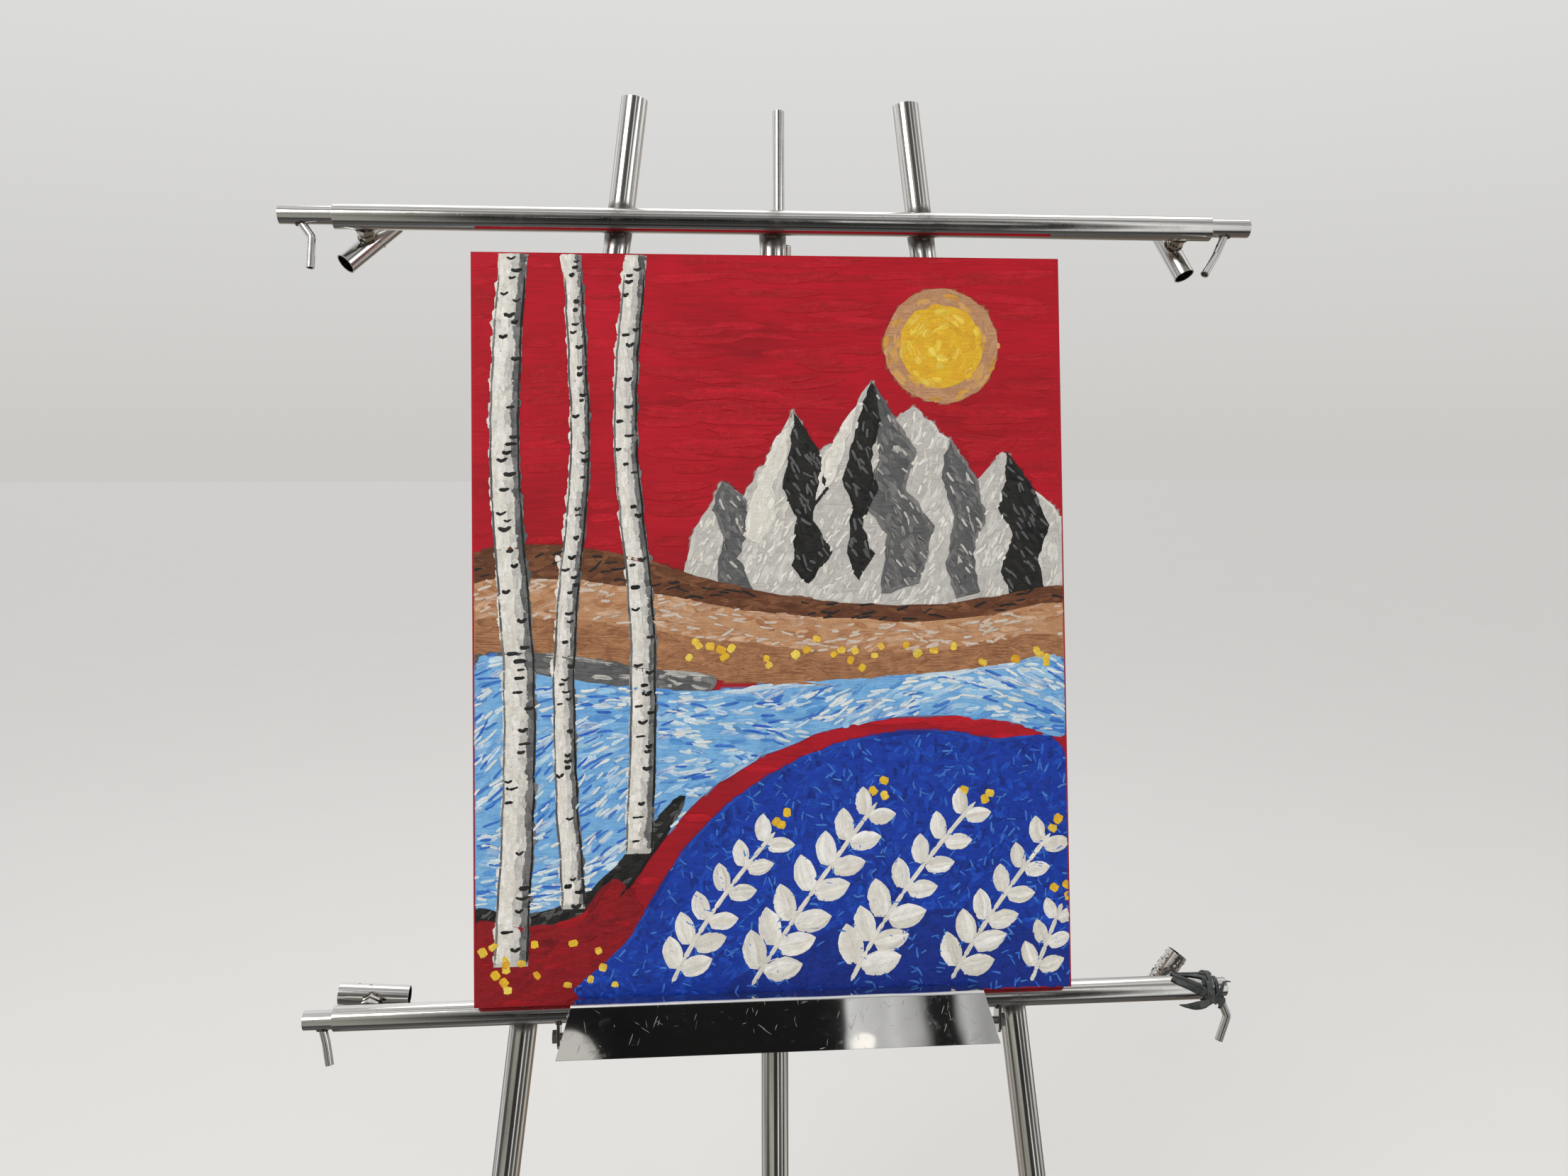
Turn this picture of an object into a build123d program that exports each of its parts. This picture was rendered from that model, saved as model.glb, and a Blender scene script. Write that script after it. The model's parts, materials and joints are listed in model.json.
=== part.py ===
from build123d import *
import os
from math import asin, cos, radians, sin

os.makedirs("parts", exist_ok=True)

# A display easel of polished stainless tube with a stretched canvas standing on its ledge.
# Millimetres and degrees. +Z is up, the canvas faces -Y, and the origin is on the floor
# in the middle of the easel's box.

# Front frame: two splayed legs and a middle upright in one leaning plane
LEAN = 7.2                    # the frame leans back from upright
FRONT_FEET_Y = -260.0         # the line on the floor where that plane stands
UPRIGHT_OD = 28.6
WALL = 1.2
# x at the low bar, x gained for each millimetre up, top end above the top bar's axis
UPRIGHTS = {
    "left_leg": (-270.5, 0.1282, 134.0),
    "right_leg": (243.5, -0.1109, 134.0),
    "mast": (-10.5, 0.0068, 9.0),
}

# Cross bars, welded to the front of the uprights with a shallow saddle
BAR_OD = 25.4
BAR_LENGTH = 914.0
BAR_FORWARD = 24.0            # bar axis in front of the uprights' axes
BAR_SPACING = 812.0
LOW_BAR_HEIGHT = 600.0
WELD_ROOM = 3.5               # kept free for the weld bead round each crossing
BAR_CENTRE_X = {"top": 5.7, "bottom": -1.8}

# Telescoping arms with bent hooks, loose in the bars and pushed over by their lock screws
ARM_OD = 19.1
ARM_SHIFT = 1.7
ARM_LENGTH = 330.0
HOOK_OD = 8.4
HOOK_BORE = 6.0
HOOK_BORE_DEPTH = 9.0
HOOK_BEND = 7.0
HOOK_ROOT = 8.0               # the hook's path starts this far below the arm's axis

# Lock screws with crosswise tube handles
SCREW_OD = 10.0
SCREW_HOLE = 10.2
SCREW_GAP = 0.3               # between the screw's tip and the arm
NUT_ACROSS = 17.0
NUT_TOP = 18.5                # from the bar's axis
HEAD_START = 21.5
HANDLE_OD = 22.2
HANDLE_REACH = 38.0           # handle axis from the bar's axis
HEAD_SINK = 1.0               # how far the screw's head is let into the handle's wall

# Thin rod standing in the open middle upright, against the right of its bore
ROD_OD = 12.7
ROD_ABOVE_BAR = 125.0
ROD_LENGTH = 420.0
ROD_GAP = 0.3                 # between the rod and the upright's wall

# Rear leg on its hinge
HINGE_X = 3.2                 # on the right half of the middle upright's back
HINGE_BELOW_BAR = 34.0
HINGE_BEHIND = 36.0           # pivot behind the uprights' axes
REAR_LEG_LEAN = 12.8          # from upright, the other way
REAR_LEG_SKEW = 0.8           # and a little to the right on the way down
REAR_LEG_ABOVE_PIVOT = 26.5   # the end that stops against the middle upright
LUG_THICKNESS = 4.0
LUG_ROUND = 13.0
LUG_ROOT = 50.0               # length of the lug's root along the upright
LUG_DROP = 4.0                # the root's middle below the pivot
FORK_SLOT = 5.0
FORK_DEPTH = 24.0             # slot below the pivot
HINGE_BOLT_OD = 8.0
HINGE_HOLE_OD = 8.16
BOLT_HEAD_ACROSS = 13.0
BOLT_HEAD = 5.3
BOLT_NUT = 6.5
BOLT_GAP = 0.6
BOLT_END = 3.0

# Rubber feet
FOOT_OD = 35.0
FOOT_HEIGHT = 40.0
FOOT_BELOW = 12.0             # it is made this much too long and cut off at the floor
TUBE_END = 8.0                # tube ends above the floor, inside the rubber

# Ledge of bent sheet
SHEET = 1.5
BEND_INSIDE = 1.5             # inside radius of each bend
LEDGE_X = -10.2
LEDGE_TOP_HALF = 207.5
LEDGE_LOW_HALF = 222.0
LIP_RISE = 8.5
LIP_CLEAR = 1.0               # between the canvas's face and the riser
LIP_DEPTH = 19.5
LIP_FALL = 1.5                # the lip slopes down to its front edge
APRON_DROP = 50.0
APRON_FORWARD = 10.0
REAR_TURN = 11.0              # rear edge turned down behind the bar
NOTCH_WIDTH = 44.0            # in the rear edge, round the middle upright's weld
NOTCH_HEIGHT = 60.0
NOTCH_CLEAR = 1.5
EAR_HALF = 216.0
EAR_HEIGHT = 18.0
BRACKETS = (("left", -1, -234.0), ("right", 1, 224.0))
BRACKET_THICKNESS = 3.0
BRACKET_WIDTH = 22.0
BRACKET_LENGTH = 38.0         # from the bar's axis down
BRACKET_CORNER = 5.0
LEDGE_BOLT_BELOW = 27.0       # below the bar's axis
LEDGE_BOLT_OD = 8.0

# Stretched canvas
CANVAS_WIDTH = 610.0
CANVAS_HEIGHT = 762.0
CANVAS_DEPTH = 18.0
CANVAS_X = -10.1
CANVAS_GAP = 0.3              # between the canvas's back and the low bar
CANVAS_REST = 0.2             # between the canvas's back and the legs at its top
CANVAS_SEAT = 0.05            # above the ledge's sheet
CANVAS_EDGE = 2.5             # rounding of the cloth over the front edges
CLOTH = 1.0
BACK_FOLD = 24.0
BACK_CLOTH = 0.8
STRETCHER_WIDTH = 40.0
STRETCHER_RIM = 7.0           # the raised rim that holds the cloth off the bar's face
RIM_HEIGHT = 1.0
STRETCHER_BEVEL = 4.0

# Rubber strip tied round the lower right bar end
TIE_THICKNESS = 2.0
TIE_ON_BAR = 20.0
TIE_ON_ARM = 4.5

# Places worked out from the dimensions above. In the leaning plane x runs to the right,
# s up the plane from the floor, and n out of its front.
FRONT = Plane(origin=(0, FRONT_FEET_Y, 0), x_dir=(1, 0, 0),
              z_dir=(0, -cos(radians(LEAN)), sin(radians(LEAN))))
LOW_BAR_S = LOW_BAR_HEIGHT / cos(radians(LEAN))
TOP_BAR_S = LOW_BAR_S + BAR_SPACING
BAR_S = {"top": TOP_BAR_S, "bottom": LOW_BAR_S}
UPRIGHT_R = UPRIGHT_OD / 2
BAR_R = BAR_OD / 2
ARM_R = ARM_OD / 2


def front_point(x, s, n):
    return FRONT.from_local_coords(Vector(x, s, n))


def front_direction(x, s, n):
    return front_point(x, s, n) - front_point(0, 0, 0)


def rod(start, end, radius, mode=Mode.ADD):
    with BuildSketch(Plane(origin=start, z_dir=end - start)) as section:
        Circle(radius)
    extrude(section.sketch, amount=(end - start).length, mode=mode)


def tube(start, end, outside, wall):
    with BuildSketch(Plane(origin=start, z_dir=end - start)) as section:
        Circle(outside / 2)
        Circle(outside / 2 - wall, mode=Mode.SUBTRACT)
    extrude(section.sketch, amount=(end - start).length)


def hexagon_block(start, direction, across, low, high):
    with BuildSketch(Plane(origin=start + direction * low, z_dir=direction)) as section:
        RegularPolygon(across / 2, 6, major_radius=False)
    extrude(section.sketch, amount=high - low)


def save(solid, node):
    solid.part.label = node
    export_step(solid.part, "parts/" + node + ".step")


# Axes of the uprights, from their floor point to their top end
upright_axes = {}
for node, (low_x, gain, above) in UPRIGHTS.items():
    upright_axes[node] = (front_point(low_x - gain * LOW_BAR_S, 0, 0),
                          front_point(low_x + gain * (BAR_SPACING + above), TOP_BAR_S + above, 0))

# Axes of the cross bars, from their left to their right end
bar_axes = {}
for row, centre_x in BAR_CENTRE_X.items():
    bar_axes[row] = (front_point(centre_x - BAR_LENGTH / 2, BAR_S[row], BAR_FORWARD),
                     front_point(centre_x + BAR_LENGTH / 2, BAR_S[row], BAR_FORWARD))

# Rear leg axis: the pivot and the point where it meets the floor
pivot = front_point(HINGE_X, TOP_BAR_S - HINGE_BELOW_BAR, -HINGE_BEHIND)
hinge_up = Vector(0, -sin(radians(REAR_LEG_LEAN)), cos(radians(REAR_LEG_LEAN)))
rear_up = (hinge_up - Vector(sin(radians(REAR_LEG_SKEW)), 0, 0)).normalized()
rear_floor = pivot - rear_up * (pivot.Z / rear_up.Z)
rear_top = pivot + rear_up * REAR_LEG_ABOVE_PIVOT

# Legs and middle upright, each with a saddle cut where a bar crosses it
for node, (foot, top) in upright_axes.items():
    along = (top - foot).normalized()
    with BuildPart() as upright:
        tube(foot + along * TUBE_END, top, UPRIGHT_OD, WALL)
        for left_end, right_end in bar_axes.values():
            rod(left_end, right_end, BAR_R, mode=Mode.SUBTRACT)
    save(upright, node)

# Rod in the middle upright, parallel to it
mast_foot, mast_top = upright_axes["mast"]
mast_up = (mast_top - mast_foot).normalized()
rod_top = mast_top + mast_up * (ROD_ABOVE_BAR - UPRIGHTS["mast"][2])
rod_top += Vector(UPRIGHT_R - WALL - ROD_GAP - ROD_OD / 2, 0, 0)
with BuildPart() as mast_rod:
    tube(rod_top - mast_up * ROD_LENGTH, rod_top, ROD_OD, WALL)
save(mast_rod, "mast_rod")

# Lock screws, by the bar's corner: bar, side (-1 left, 1 right), distance in from the bar's
# end, tilt of the screw from straight back (up is positive), handle's turn and length
LOCK_SCREWS = {
    "top_left": ("top", -1, 27.0, -28.0, 52.0, 71.0),
    "top_right": ("top", 1, 29.0, -19.5, 109.0, 71.0),
    "bottom_left": ("bottom", -1, 31.0, 16.5, -5.0, 71.0),
    "bottom_right": ("bottom", 1, 35.0, 6.5, 55.0, 52.0),
}


def screw_place(row, side, inset, tilt):
    x = BAR_CENTRE_X[row] + side * (BAR_LENGTH / 2 - inset)
    start = front_point(x, BAR_S[row], BAR_FORWARD)
    direction = front_direction(0, sin(radians(tilt)), -cos(radians(tilt)))
    across = front_direction(0, cos(radians(tilt)), sin(radians(tilt)))
    return start, direction, across


# Cross bars with their lock nuts
for row, (left_end, right_end) in bar_axes.items():
    with BuildPart() as bar:
        tube(left_end, right_end, BAR_OD, WALL)
        for screw_row, side, inset, tilt, turn, length in LOCK_SCREWS.values():
            if screw_row == row:
                start, direction, across = screw_place(row, side, inset, tilt)
                hexagon_block(start, direction, NUT_ACROSS, BAR_R - WALL / 2, NUT_TOP)
                rod(start, start + direction * (NUT_TOP + 1), SCREW_HOLE / 2, mode=Mode.SUBTRACT)
    save(bar, row + "_bar")

# Lock screws with their welded handles
screw_tip = ARM_R - ARM_SHIFT + SCREW_GAP
head_end = HANDLE_REACH - HANDLE_OD / 2 + HEAD_SINK
for place, (row, side, inset, tilt, turn, length) in LOCK_SCREWS.items():
    start, direction, across = screw_place(row, side, inset, tilt)
    handle_along = Vector(1, 0, 0) * cos(radians(turn)) + across * sin(radians(turn))
    handle_middle = start + direction * HANDLE_REACH
    handle_half = handle_along * (length / 2)
    with BuildPart() as lock_screw:
        rod(start + direction * screw_tip, start + direction * (HEAD_START + 1), SCREW_OD / 2)
        hexagon_block(start, direction, NUT_ACROSS, HEAD_START, head_end)
        tube(handle_middle - handle_half, handle_middle + handle_half, HANDLE_OD, WALL)
    save(lock_screw, "lock_screw_" + place)

# Arms: how far the arm stands out of the bar, the hook's place in from the arm's end, and
# the hook's knee and tip from its root as (right, forward, down)
ARMS = {
    "top_left": (53.5, 21.4, (11, 3, 15), (10, 6, 47)),
    "top_right": (42.0, 25.6, (-12, 5, 22), (-30, 17, 46)),
    "bottom_left": (29.3, 17.9, (4, 2, 14), (8, 5, 36)),
    "bottom_right": (15.8, 6.7, (8, 3, 22), (-2, 4, 48)),
}

arm_axes = {}
for place, (out, hook_in, knee, tip) in ARMS.items():
    row, side, inset, tilt, turn, length = LOCK_SCREWS[place]
    start, direction, across = screw_place(row, side, inset, tilt)
    arm_end = BAR_CENTRE_X[row] + side * (BAR_LENGTH / 2 + out)
    pushed = direction * -ARM_SHIFT
    inner = front_point(arm_end - side * ARM_LENGTH, BAR_S[row], BAR_FORWARD) + pushed
    outer = front_point(arm_end, BAR_S[row], BAR_FORWARD) + pushed
    arm_axes[place] = (inner, outer)
    with BuildPart() as arm:
        tube(inner, outer, ARM_OD, WALL)
    save(arm, "arm_" + place)

    hook_x = arm_end - side * hook_in
    bends = [front_point(hook_x + right, BAR_S[row] - HOOK_ROOT - down, BAR_FORWARD + forward) + pushed
             for right, forward, down in ((0, 0, 0), knee, tip)]
    with BuildPart() as hook:
        with BuildLine() as hook_path:
            FilletPolyline(*bends, radius=HOOK_BEND)
        with BuildSketch(Plane(origin=bends[0], z_dir=bends[1] - bends[0])):
            Circle(HOOK_OD / 2)
        sweep(path=hook_path.line)
        rod(inner, outer, ARM_R, mode=Mode.SUBTRACT)
        tip_up = (bends[1] - bends[2]).normalized()
        rod(bends[2], bends[2] + tip_up * HOOK_BORE_DEPTH, HOOK_BORE / 2, mode=Mode.SUBTRACT)
    save(hook, "hook_" + place)

# Hinge lug on the back of the middle upright. Its sketch has x to the rear, y up the plane.
lug_plane = Plane(origin=front_point(HINGE_X, TOP_BAR_S - HINGE_BELOW_BAR, 0),
                  x_dir=front_direction(0, 0, -1), z_dir=(1, 0, 0))
with BuildPart() as hinge_lug:
    with BuildSketch(lug_plane):
        with Locations((HINGE_BEHIND, 0)):
            Circle(LUG_ROUND)
        with Locations((UPRIGHT_R - WALL, -LUG_DROP)):
            Rectangle(WALL, LUG_ROOT)
        make_hull()
        with Locations((HINGE_BEHIND, 0)):
            Circle(HINGE_HOLE_OD / 2, mode=Mode.SUBTRACT)
    extrude(amount=LUG_THICKNESS / 2, both=True)
    rod(*upright_axes["mast"], UPRIGHT_R, mode=Mode.SUBTRACT)
save(hinge_lug, "hinge_lug")

# Rear leg, its top end slotted into a fork
with BuildPart() as rear_leg:
    tube(rear_floor + rear_up * TUBE_END, rear_top, UPRIGHT_OD, WALL)
    with BuildSketch(Plane(origin=pivot - hinge_up * FORK_DEPTH, x_dir=(1, 0, 0), z_dir=hinge_up)):
        Rectangle(FORK_SLOT, 2 * UPRIGHT_OD)
    extrude(amount=FORK_DEPTH + 2 * REAR_LEG_ABOVE_PIVOT, mode=Mode.SUBTRACT)
    rod(pivot - Vector(UPRIGHT_OD, 0, 0), pivot + Vector(UPRIGHT_OD, 0, 0),
        HINGE_HOLE_OD / 2, mode=Mode.SUBTRACT)
save(rear_leg, "rear_leg")

# Hinge bolt with its nut, across the fork
bolt_side = UPRIGHT_R + BOLT_GAP
with BuildPart() as hinge_bolt:
    rod(pivot - Vector(bolt_side + BOLT_NUT + BOLT_END, 0, 0), pivot + Vector(bolt_side + 1, 0, 0),
        HINGE_BOLT_OD / 2)
    hexagon_block(pivot, Vector(1, 0, 0), BOLT_HEAD_ACROSS, bolt_side, bolt_side + BOLT_HEAD)
    hexagon_block(pivot, Vector(-1, 0, 0), BOLT_HEAD_ACROSS, bolt_side, bolt_side + BOLT_NUT)
save(hinge_bolt, "hinge_bolt")

# Rubber feet: a ferrule round each tube end, its sole flat on the floor
feet = {
    "foot_left": upright_axes["left_leg"],
    "foot_right": upright_axes["right_leg"],
    "foot_mast": upright_axes["mast"],
    "foot_rear": (rear_floor, rear_top),
}
for node, (floor_point, top) in feet.items():
    along = (top - floor_point).normalized()
    low_end = floor_point - along * FOOT_BELOW
    with BuildPart() as foot:
        rod(low_end, floor_point + along * FOOT_HEIGHT, FOOT_OD / 2)
        rod(floor_point + along * TUBE_END, top, UPRIGHT_R, mode=Mode.SUBTRACT)
        split(bisect_by=Plane.XY, keep=Keep.TOP)
    save(foot, node)

# Ledge: one bent sheet that lies over the low bar, turns up into a lip in front of the
# canvas, runs forward and falls as an apron. Places in (n, s) about the low bar's axis.
ledge_top = BAR_R + SHEET
back_n = BAR_FORWARD + BAR_R + CANVAS_GAP
riser_n = back_n + CANVAS_DEPTH + LIP_CLEAR
lip_s = ledge_top + LIP_RISE
front_n = riser_n + LIP_DEPTH
rear_n = BAR_FORWARD - BAR_R - SHEET - CANVAS_GAP
apron_low = (front_n + APRON_FORWARD, lip_s - SHEET - APRON_DROP)
apron_slope = APRON_FORWARD / (APRON_DROP + SHEET - LIP_FALL)
bend_outside = BEND_INSIDE + SHEET
ledge_plane = Plane(origin=front_point(LEDGE_X, LOW_BAR_S, 0), x_dir=front_direction(0, 0, 1),
                    z_dir=(-1, 0, 0))
apron_plane = Plane(origin=front_point(LEDGE_X, LOW_BAR_S, rear_n), x_dir=(1, 0, 0),
                    z_dir=front_direction(0, 0, 1))
with BuildPart() as tray:
    with BuildSketch(ledge_plane):
        with BuildLine():
            FilletPolyline((rear_n, ledge_top - REAR_TURN), (rear_n, ledge_top), (riser_n, ledge_top),
                           (riser_n, lip_s), (front_n, lip_s - LIP_FALL), apron_low,
                           radius=[bend_outside, BEND_INSIDE, bend_outside, bend_outside])
            offset(amount=SHEET, side=Side.RIGHT, closed=True)
        make_face()
    extrude(amount=LEDGE_LOW_HALF, both=True)
    # its ends are cut square down to the lip's front edge, then flare to the apron's low edge
    with BuildSketch(apron_plane):
        Polygon((-LEDGE_TOP_HALF, lip_s + SHEET), (LEDGE_TOP_HALF, lip_s + SHEET),
                (LEDGE_TOP_HALF, lip_s - bend_outside), (LEDGE_LOW_HALF, apron_low[1] - SHEET),
                (-LEDGE_LOW_HALF, apron_low[1] - SHEET), (-LEDGE_TOP_HALF, lip_s - bend_outside), align=None)
    extrude(amount=apron_low[0] - rear_n + SHEET, mode=Mode.INTERSECT)
    with BuildSketch(Plane(origin=front_point(UPRIGHTS["mast"][0], LOW_BAR_S, 0), x_dir=(1, 0, 0),
                           z_dir=front_direction(0, 0, 1))):
        Rectangle(NOTCH_WIDTH, NOTCH_HEIGHT)
    extrude(amount=UPRIGHT_R + WELD_ROOM + NOTCH_CLEAR, mode=Mode.SUBTRACT)
    # ears: strips from the apron's low corners back to the bolts
    for side in (-1, 1):
        with BuildSketch(ledge_plane.offset(-side * EAR_HALF)):
            with Locations((BAR_FORWARD, -LEDGE_BOLT_BELOW)):
                Circle(EAR_HEIGHT / 2)
            Polygon((apron_low[0] - SHEET, apron_low[1]), (apron_low[0] - SHEET / 2, apron_low[1]),
                    (apron_low[0] - SHEET / 2 - EAR_HEIGHT * apron_slope, apron_low[1] + EAR_HEIGHT),
                    (apron_low[0] - SHEET - EAR_HEIGHT * apron_slope, apron_low[1] + EAR_HEIGHT),
                    align=None)
            make_hull()
            with Locations((BAR_FORWARD, -LEDGE_BOLT_BELOW)):
                Circle(LEDGE_BOLT_OD / 2, mode=Mode.SUBTRACT)
        extrude(amount=SHEET / 2, both=True)
save(tray, "tray")

# Brackets: straps welded under the low bar, with the ledge's bolts through their low ends
for word, side, strap_x in BRACKETS:
    strap_plane = Plane(origin=front_point(strap_x, LOW_BAR_S, 0),
                        x_dir=front_direction(0, 0, 1), z_dir=(-1, 0, 0))
    with BuildPart() as bracket:
        with BuildSketch(strap_plane) as strap:
            with Locations((BAR_FORWARD, -BRACKET_LENGTH / 2)):
                Rectangle(BRACKET_WIDTH, BRACKET_LENGTH)
            chamfer(strap.vertices().group_by(Axis((0, 0, 0), front_direction(0, 1, 0)))[0],
                    length=BRACKET_CORNER)
            with Locations((BAR_FORWARD, -LEDGE_BOLT_BELOW)):
                Circle(LEDGE_BOLT_OD / 2, mode=Mode.SUBTRACT)
        extrude(amount=BRACKET_THICKNESS / 2, both=True)
        rod(*bar_axes["bottom"], BAR_R, mode=Mode.SUBTRACT)
    save(bracket, "tray_bracket_" + word)

    strap_out = strap_x + side * BRACKET_THICKNESS / 2
    ear_in = LEDGE_X + side * (EAR_HALF - SHEET / 2)
    outer = front_point(strap_out, LOW_BAR_S - LEDGE_BOLT_BELOW, BAR_FORWARD)
    inner = front_point(ear_in, LOW_BAR_S - LEDGE_BOLT_BELOW, BAR_FORWARD)
    with BuildPart() as bolt:
        rod(inner - Vector(side * (BOLT_NUT + BOLT_END), 0, 0), outer + Vector(side, 0, 0),
            LEDGE_BOLT_OD / 2)
        hexagon_block(outer, Vector(side, 0, 0), BOLT_HEAD_ACROSS, 0, BOLT_HEAD)
        hexagon_block(inner, Vector(-side, 0, 0), BOLT_HEAD_ACROSS, 0, BOLT_NUT)
    save(bolt, "tray_bolt_" + word)

# Canvas: it stands on the ledge against the low bar and leans back on the legs
lean = asin((back_n - UPRIGHT_R - CANVAS_REST) / (CANVAS_HEIGHT + ledge_top))
canvas_up = front_direction(0, cos(lean), -sin(lean))
canvas_low_back = front_point(CANVAS_X, LOW_BAR_S, back_n) + canvas_up * (ledge_top + CANVAS_SEAT)
CANVAS = Plane(origin=canvas_low_back, x_dir=(1, 0, 0), z_dir=front_direction(0, sin(lean), cos(lean)))
with BuildPart() as canvas_cloth:
    with BuildSketch(CANVAS):
        with Locations((0, CANVAS_HEIGHT / 2)):
            Rectangle(CANVAS_WIDTH, CANVAS_HEIGHT)
    extrude(amount=CANVAS_DEPTH)
    front_face = canvas_cloth.faces().sort_by(Axis(CANVAS.origin, CANVAS.z_dir))[-1]
    fillet(front_face.edges(), radius=CANVAS_EDGE)
    with BuildSketch(CANVAS.offset(BACK_CLOTH)):
        with Locations((0, CANVAS_HEIGHT / 2)):
            Rectangle(CANVAS_WIDTH - 2 * CLOTH, CANVAS_HEIGHT - 2 * CLOTH)
    extrude(amount=CANVAS_DEPTH - CLOTH - BACK_CLOTH, mode=Mode.SUBTRACT)
    with BuildSketch(CANVAS):
        with Locations((0, CANVAS_HEIGHT / 2)):
            Rectangle(CANVAS_WIDTH - 2 * BACK_FOLD, CANVAS_HEIGHT - 2 * BACK_FOLD)
    extrude(amount=BACK_CLOTH, mode=Mode.SUBTRACT)
save(canvas_cloth, "canvas_cloth")

# Stretcher bars, mitred at the corners: name, turn about the canvas's middle
inside_half_width = CANVAS_WIDTH / 2 - CLOTH
inside_half_height = CANVAS_HEIGHT / 2 - CLOTH
stretcher_depth = CANVAS_DEPTH - CLOTH - BACK_CLOTH
STRETCHERS = {"bottom": 0, "right": 90, "top": 180, "left": 270}
middle = CANVAS.from_local_coords(Vector(0, CANVAS_HEIGHT / 2, BACK_CLOTH))
for word, turn in STRETCHERS.items():
    upright = turn in (90, 270)
    half_along = inside_half_height if upright else inside_half_width
    out = inside_half_width if upright else inside_half_height
    along = CANVAS.x_dir * cos(radians(turn)) + CANVAS.y_dir * sin(radians(turn))
    inward = CANVAS.y_dir * cos(radians(turn)) - CANVAS.x_dir * sin(radians(turn))
    edge = middle - inward * out
    with BuildPart() as stretcher:
        with BuildSketch(Plane(origin=edge, x_dir=inward, z_dir=along)):
            with BuildLine():
                Polyline((0, 0), (STRETCHER_WIDTH, 0), (STRETCHER_WIDTH, stretcher_depth - STRETCHER_BEVEL),
                         (STRETCHER_RIM, stretcher_depth - RIM_HEIGHT), (STRETCHER_RIM, stretcher_depth),
                         (0, stretcher_depth), close=True)
            make_face()
        extrude(amount=half_along, both=True)
        for end in (-1, 1):
            corner = edge + along * (end * half_along)
            split(bisect_by=Plane(origin=corner, z_dir=-inward - along * end), keep=Keep.TOP)
    save(stretcher, "stretcher_" + word)

# Rubber strip wound tight over the bar's end and the arm beside it
bar_end = bar_axes["bottom"][1]
with BuildPart() as rubber_tie:
    rod(bar_end - Vector(TIE_ON_BAR, 0, 0), bar_end + Vector(TIE_ON_ARM, 0, 0), BAR_R + TIE_THICKNESS)
    rod(bar_end - Vector(TIE_ON_BAR, 0, 0), bar_end, BAR_R, mode=Mode.SUBTRACT)
    rod(*arm_axes["bottom_right"], ARM_R, mode=Mode.SUBTRACT)
save(rubber_tie, "rubber_tie")
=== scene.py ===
import json
import math

import bmesh
import bpy
import numpy as np
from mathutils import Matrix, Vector


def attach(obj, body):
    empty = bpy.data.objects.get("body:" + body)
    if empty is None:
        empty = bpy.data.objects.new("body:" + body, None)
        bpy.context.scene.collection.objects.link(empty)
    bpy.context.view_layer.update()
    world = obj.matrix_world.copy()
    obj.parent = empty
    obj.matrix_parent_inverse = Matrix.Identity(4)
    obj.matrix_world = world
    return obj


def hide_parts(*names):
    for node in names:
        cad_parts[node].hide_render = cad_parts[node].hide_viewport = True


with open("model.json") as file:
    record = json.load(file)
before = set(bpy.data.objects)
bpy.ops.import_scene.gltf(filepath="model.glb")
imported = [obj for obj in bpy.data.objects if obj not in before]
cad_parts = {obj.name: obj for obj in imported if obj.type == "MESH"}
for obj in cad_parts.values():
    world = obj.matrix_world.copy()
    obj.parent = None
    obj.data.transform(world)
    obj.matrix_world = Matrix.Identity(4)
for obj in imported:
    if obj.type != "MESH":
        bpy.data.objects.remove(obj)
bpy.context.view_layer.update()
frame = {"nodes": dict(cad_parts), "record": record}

# The photograph's frame and the camera that fits the canvas, the bars and the legs
IMAGE_WIDTH = 2212
FOCAL_PIXELS = 1718.9
SENSOR_WIDTH = 36.0
CAMERA_PLACE = (-0.1000, -1.4100, 1.1902)
CAMERA_TURN = (82.804, -0.034, -4.628)      # degrees about X, Y and Z
FLOOR_HALF = 30.0
FLOOR_COLOUR = (0.78, 0.77, 0.75)

# The easel's measures in metres. A place on its front is given by x to the right, s up the slope
# from the feet and n out of the front. UPRIGHTS: x at the low bar, and how much x grows with s.
LEAN = math.radians(7.2)
FRONT_FEET_Y = -0.260
LOW_BAR_S = 0.600 / math.cos(LEAN)
BAR_S = {"top": LOW_BAR_S + 0.812, "bottom": LOW_BAR_S}
BAR_CENTRE_X = {"top": 0.0057, "bottom": -0.0018}
BAR_FORWARD = 0.024
BAR_R = 0.0127
BAR_LENGTH = 0.914
UPRIGHT_R = 0.0143
UPRIGHTS = {"left_leg": (-0.2705, 0.1282), "right_leg": (0.2435, -0.1109), "mast": (-0.0105, 0.0068)}
ARM_R = 0.00955
ARM_SHIFT = 0.0017
BRACKET_X = (-0.234, 0.224)
HINGE_X = 0.0032
HINGE_S = BAR_S["top"] - 0.034
REAR_AXIS = (-0.014, -0.2215, 0.975)

CANVAS_WIDTH = 0.610
CANVAS_HEIGHT = 0.762
CANVAS_DEPTH = 0.018
CANVAS_X = -0.0101
CANVAS_BACK = BAR_FORWARD + BAR_R + 0.0003
CANVAS_FOOT = BAR_R + 0.0015
CANVAS_SEAT = 0.00005
CANVAS_REST = 0.0002
CANVAS_FOLD = 0.024
CANVAS_EDGE = 0.0025


def front_direction(x, s, n):
    return Vector((x, s * math.sin(LEAN) - n * math.cos(LEAN), s * math.cos(LEAN) + n * math.sin(LEAN)))


def front_point(x, s, n):
    return front_direction(x, s, n) + Vector((0, FRONT_FEET_Y, 0))


def upright_x(upright, s):
    low_x, gain = UPRIGHTS[upright]
    return low_x + gain * (s - LOW_BAR_S)


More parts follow.
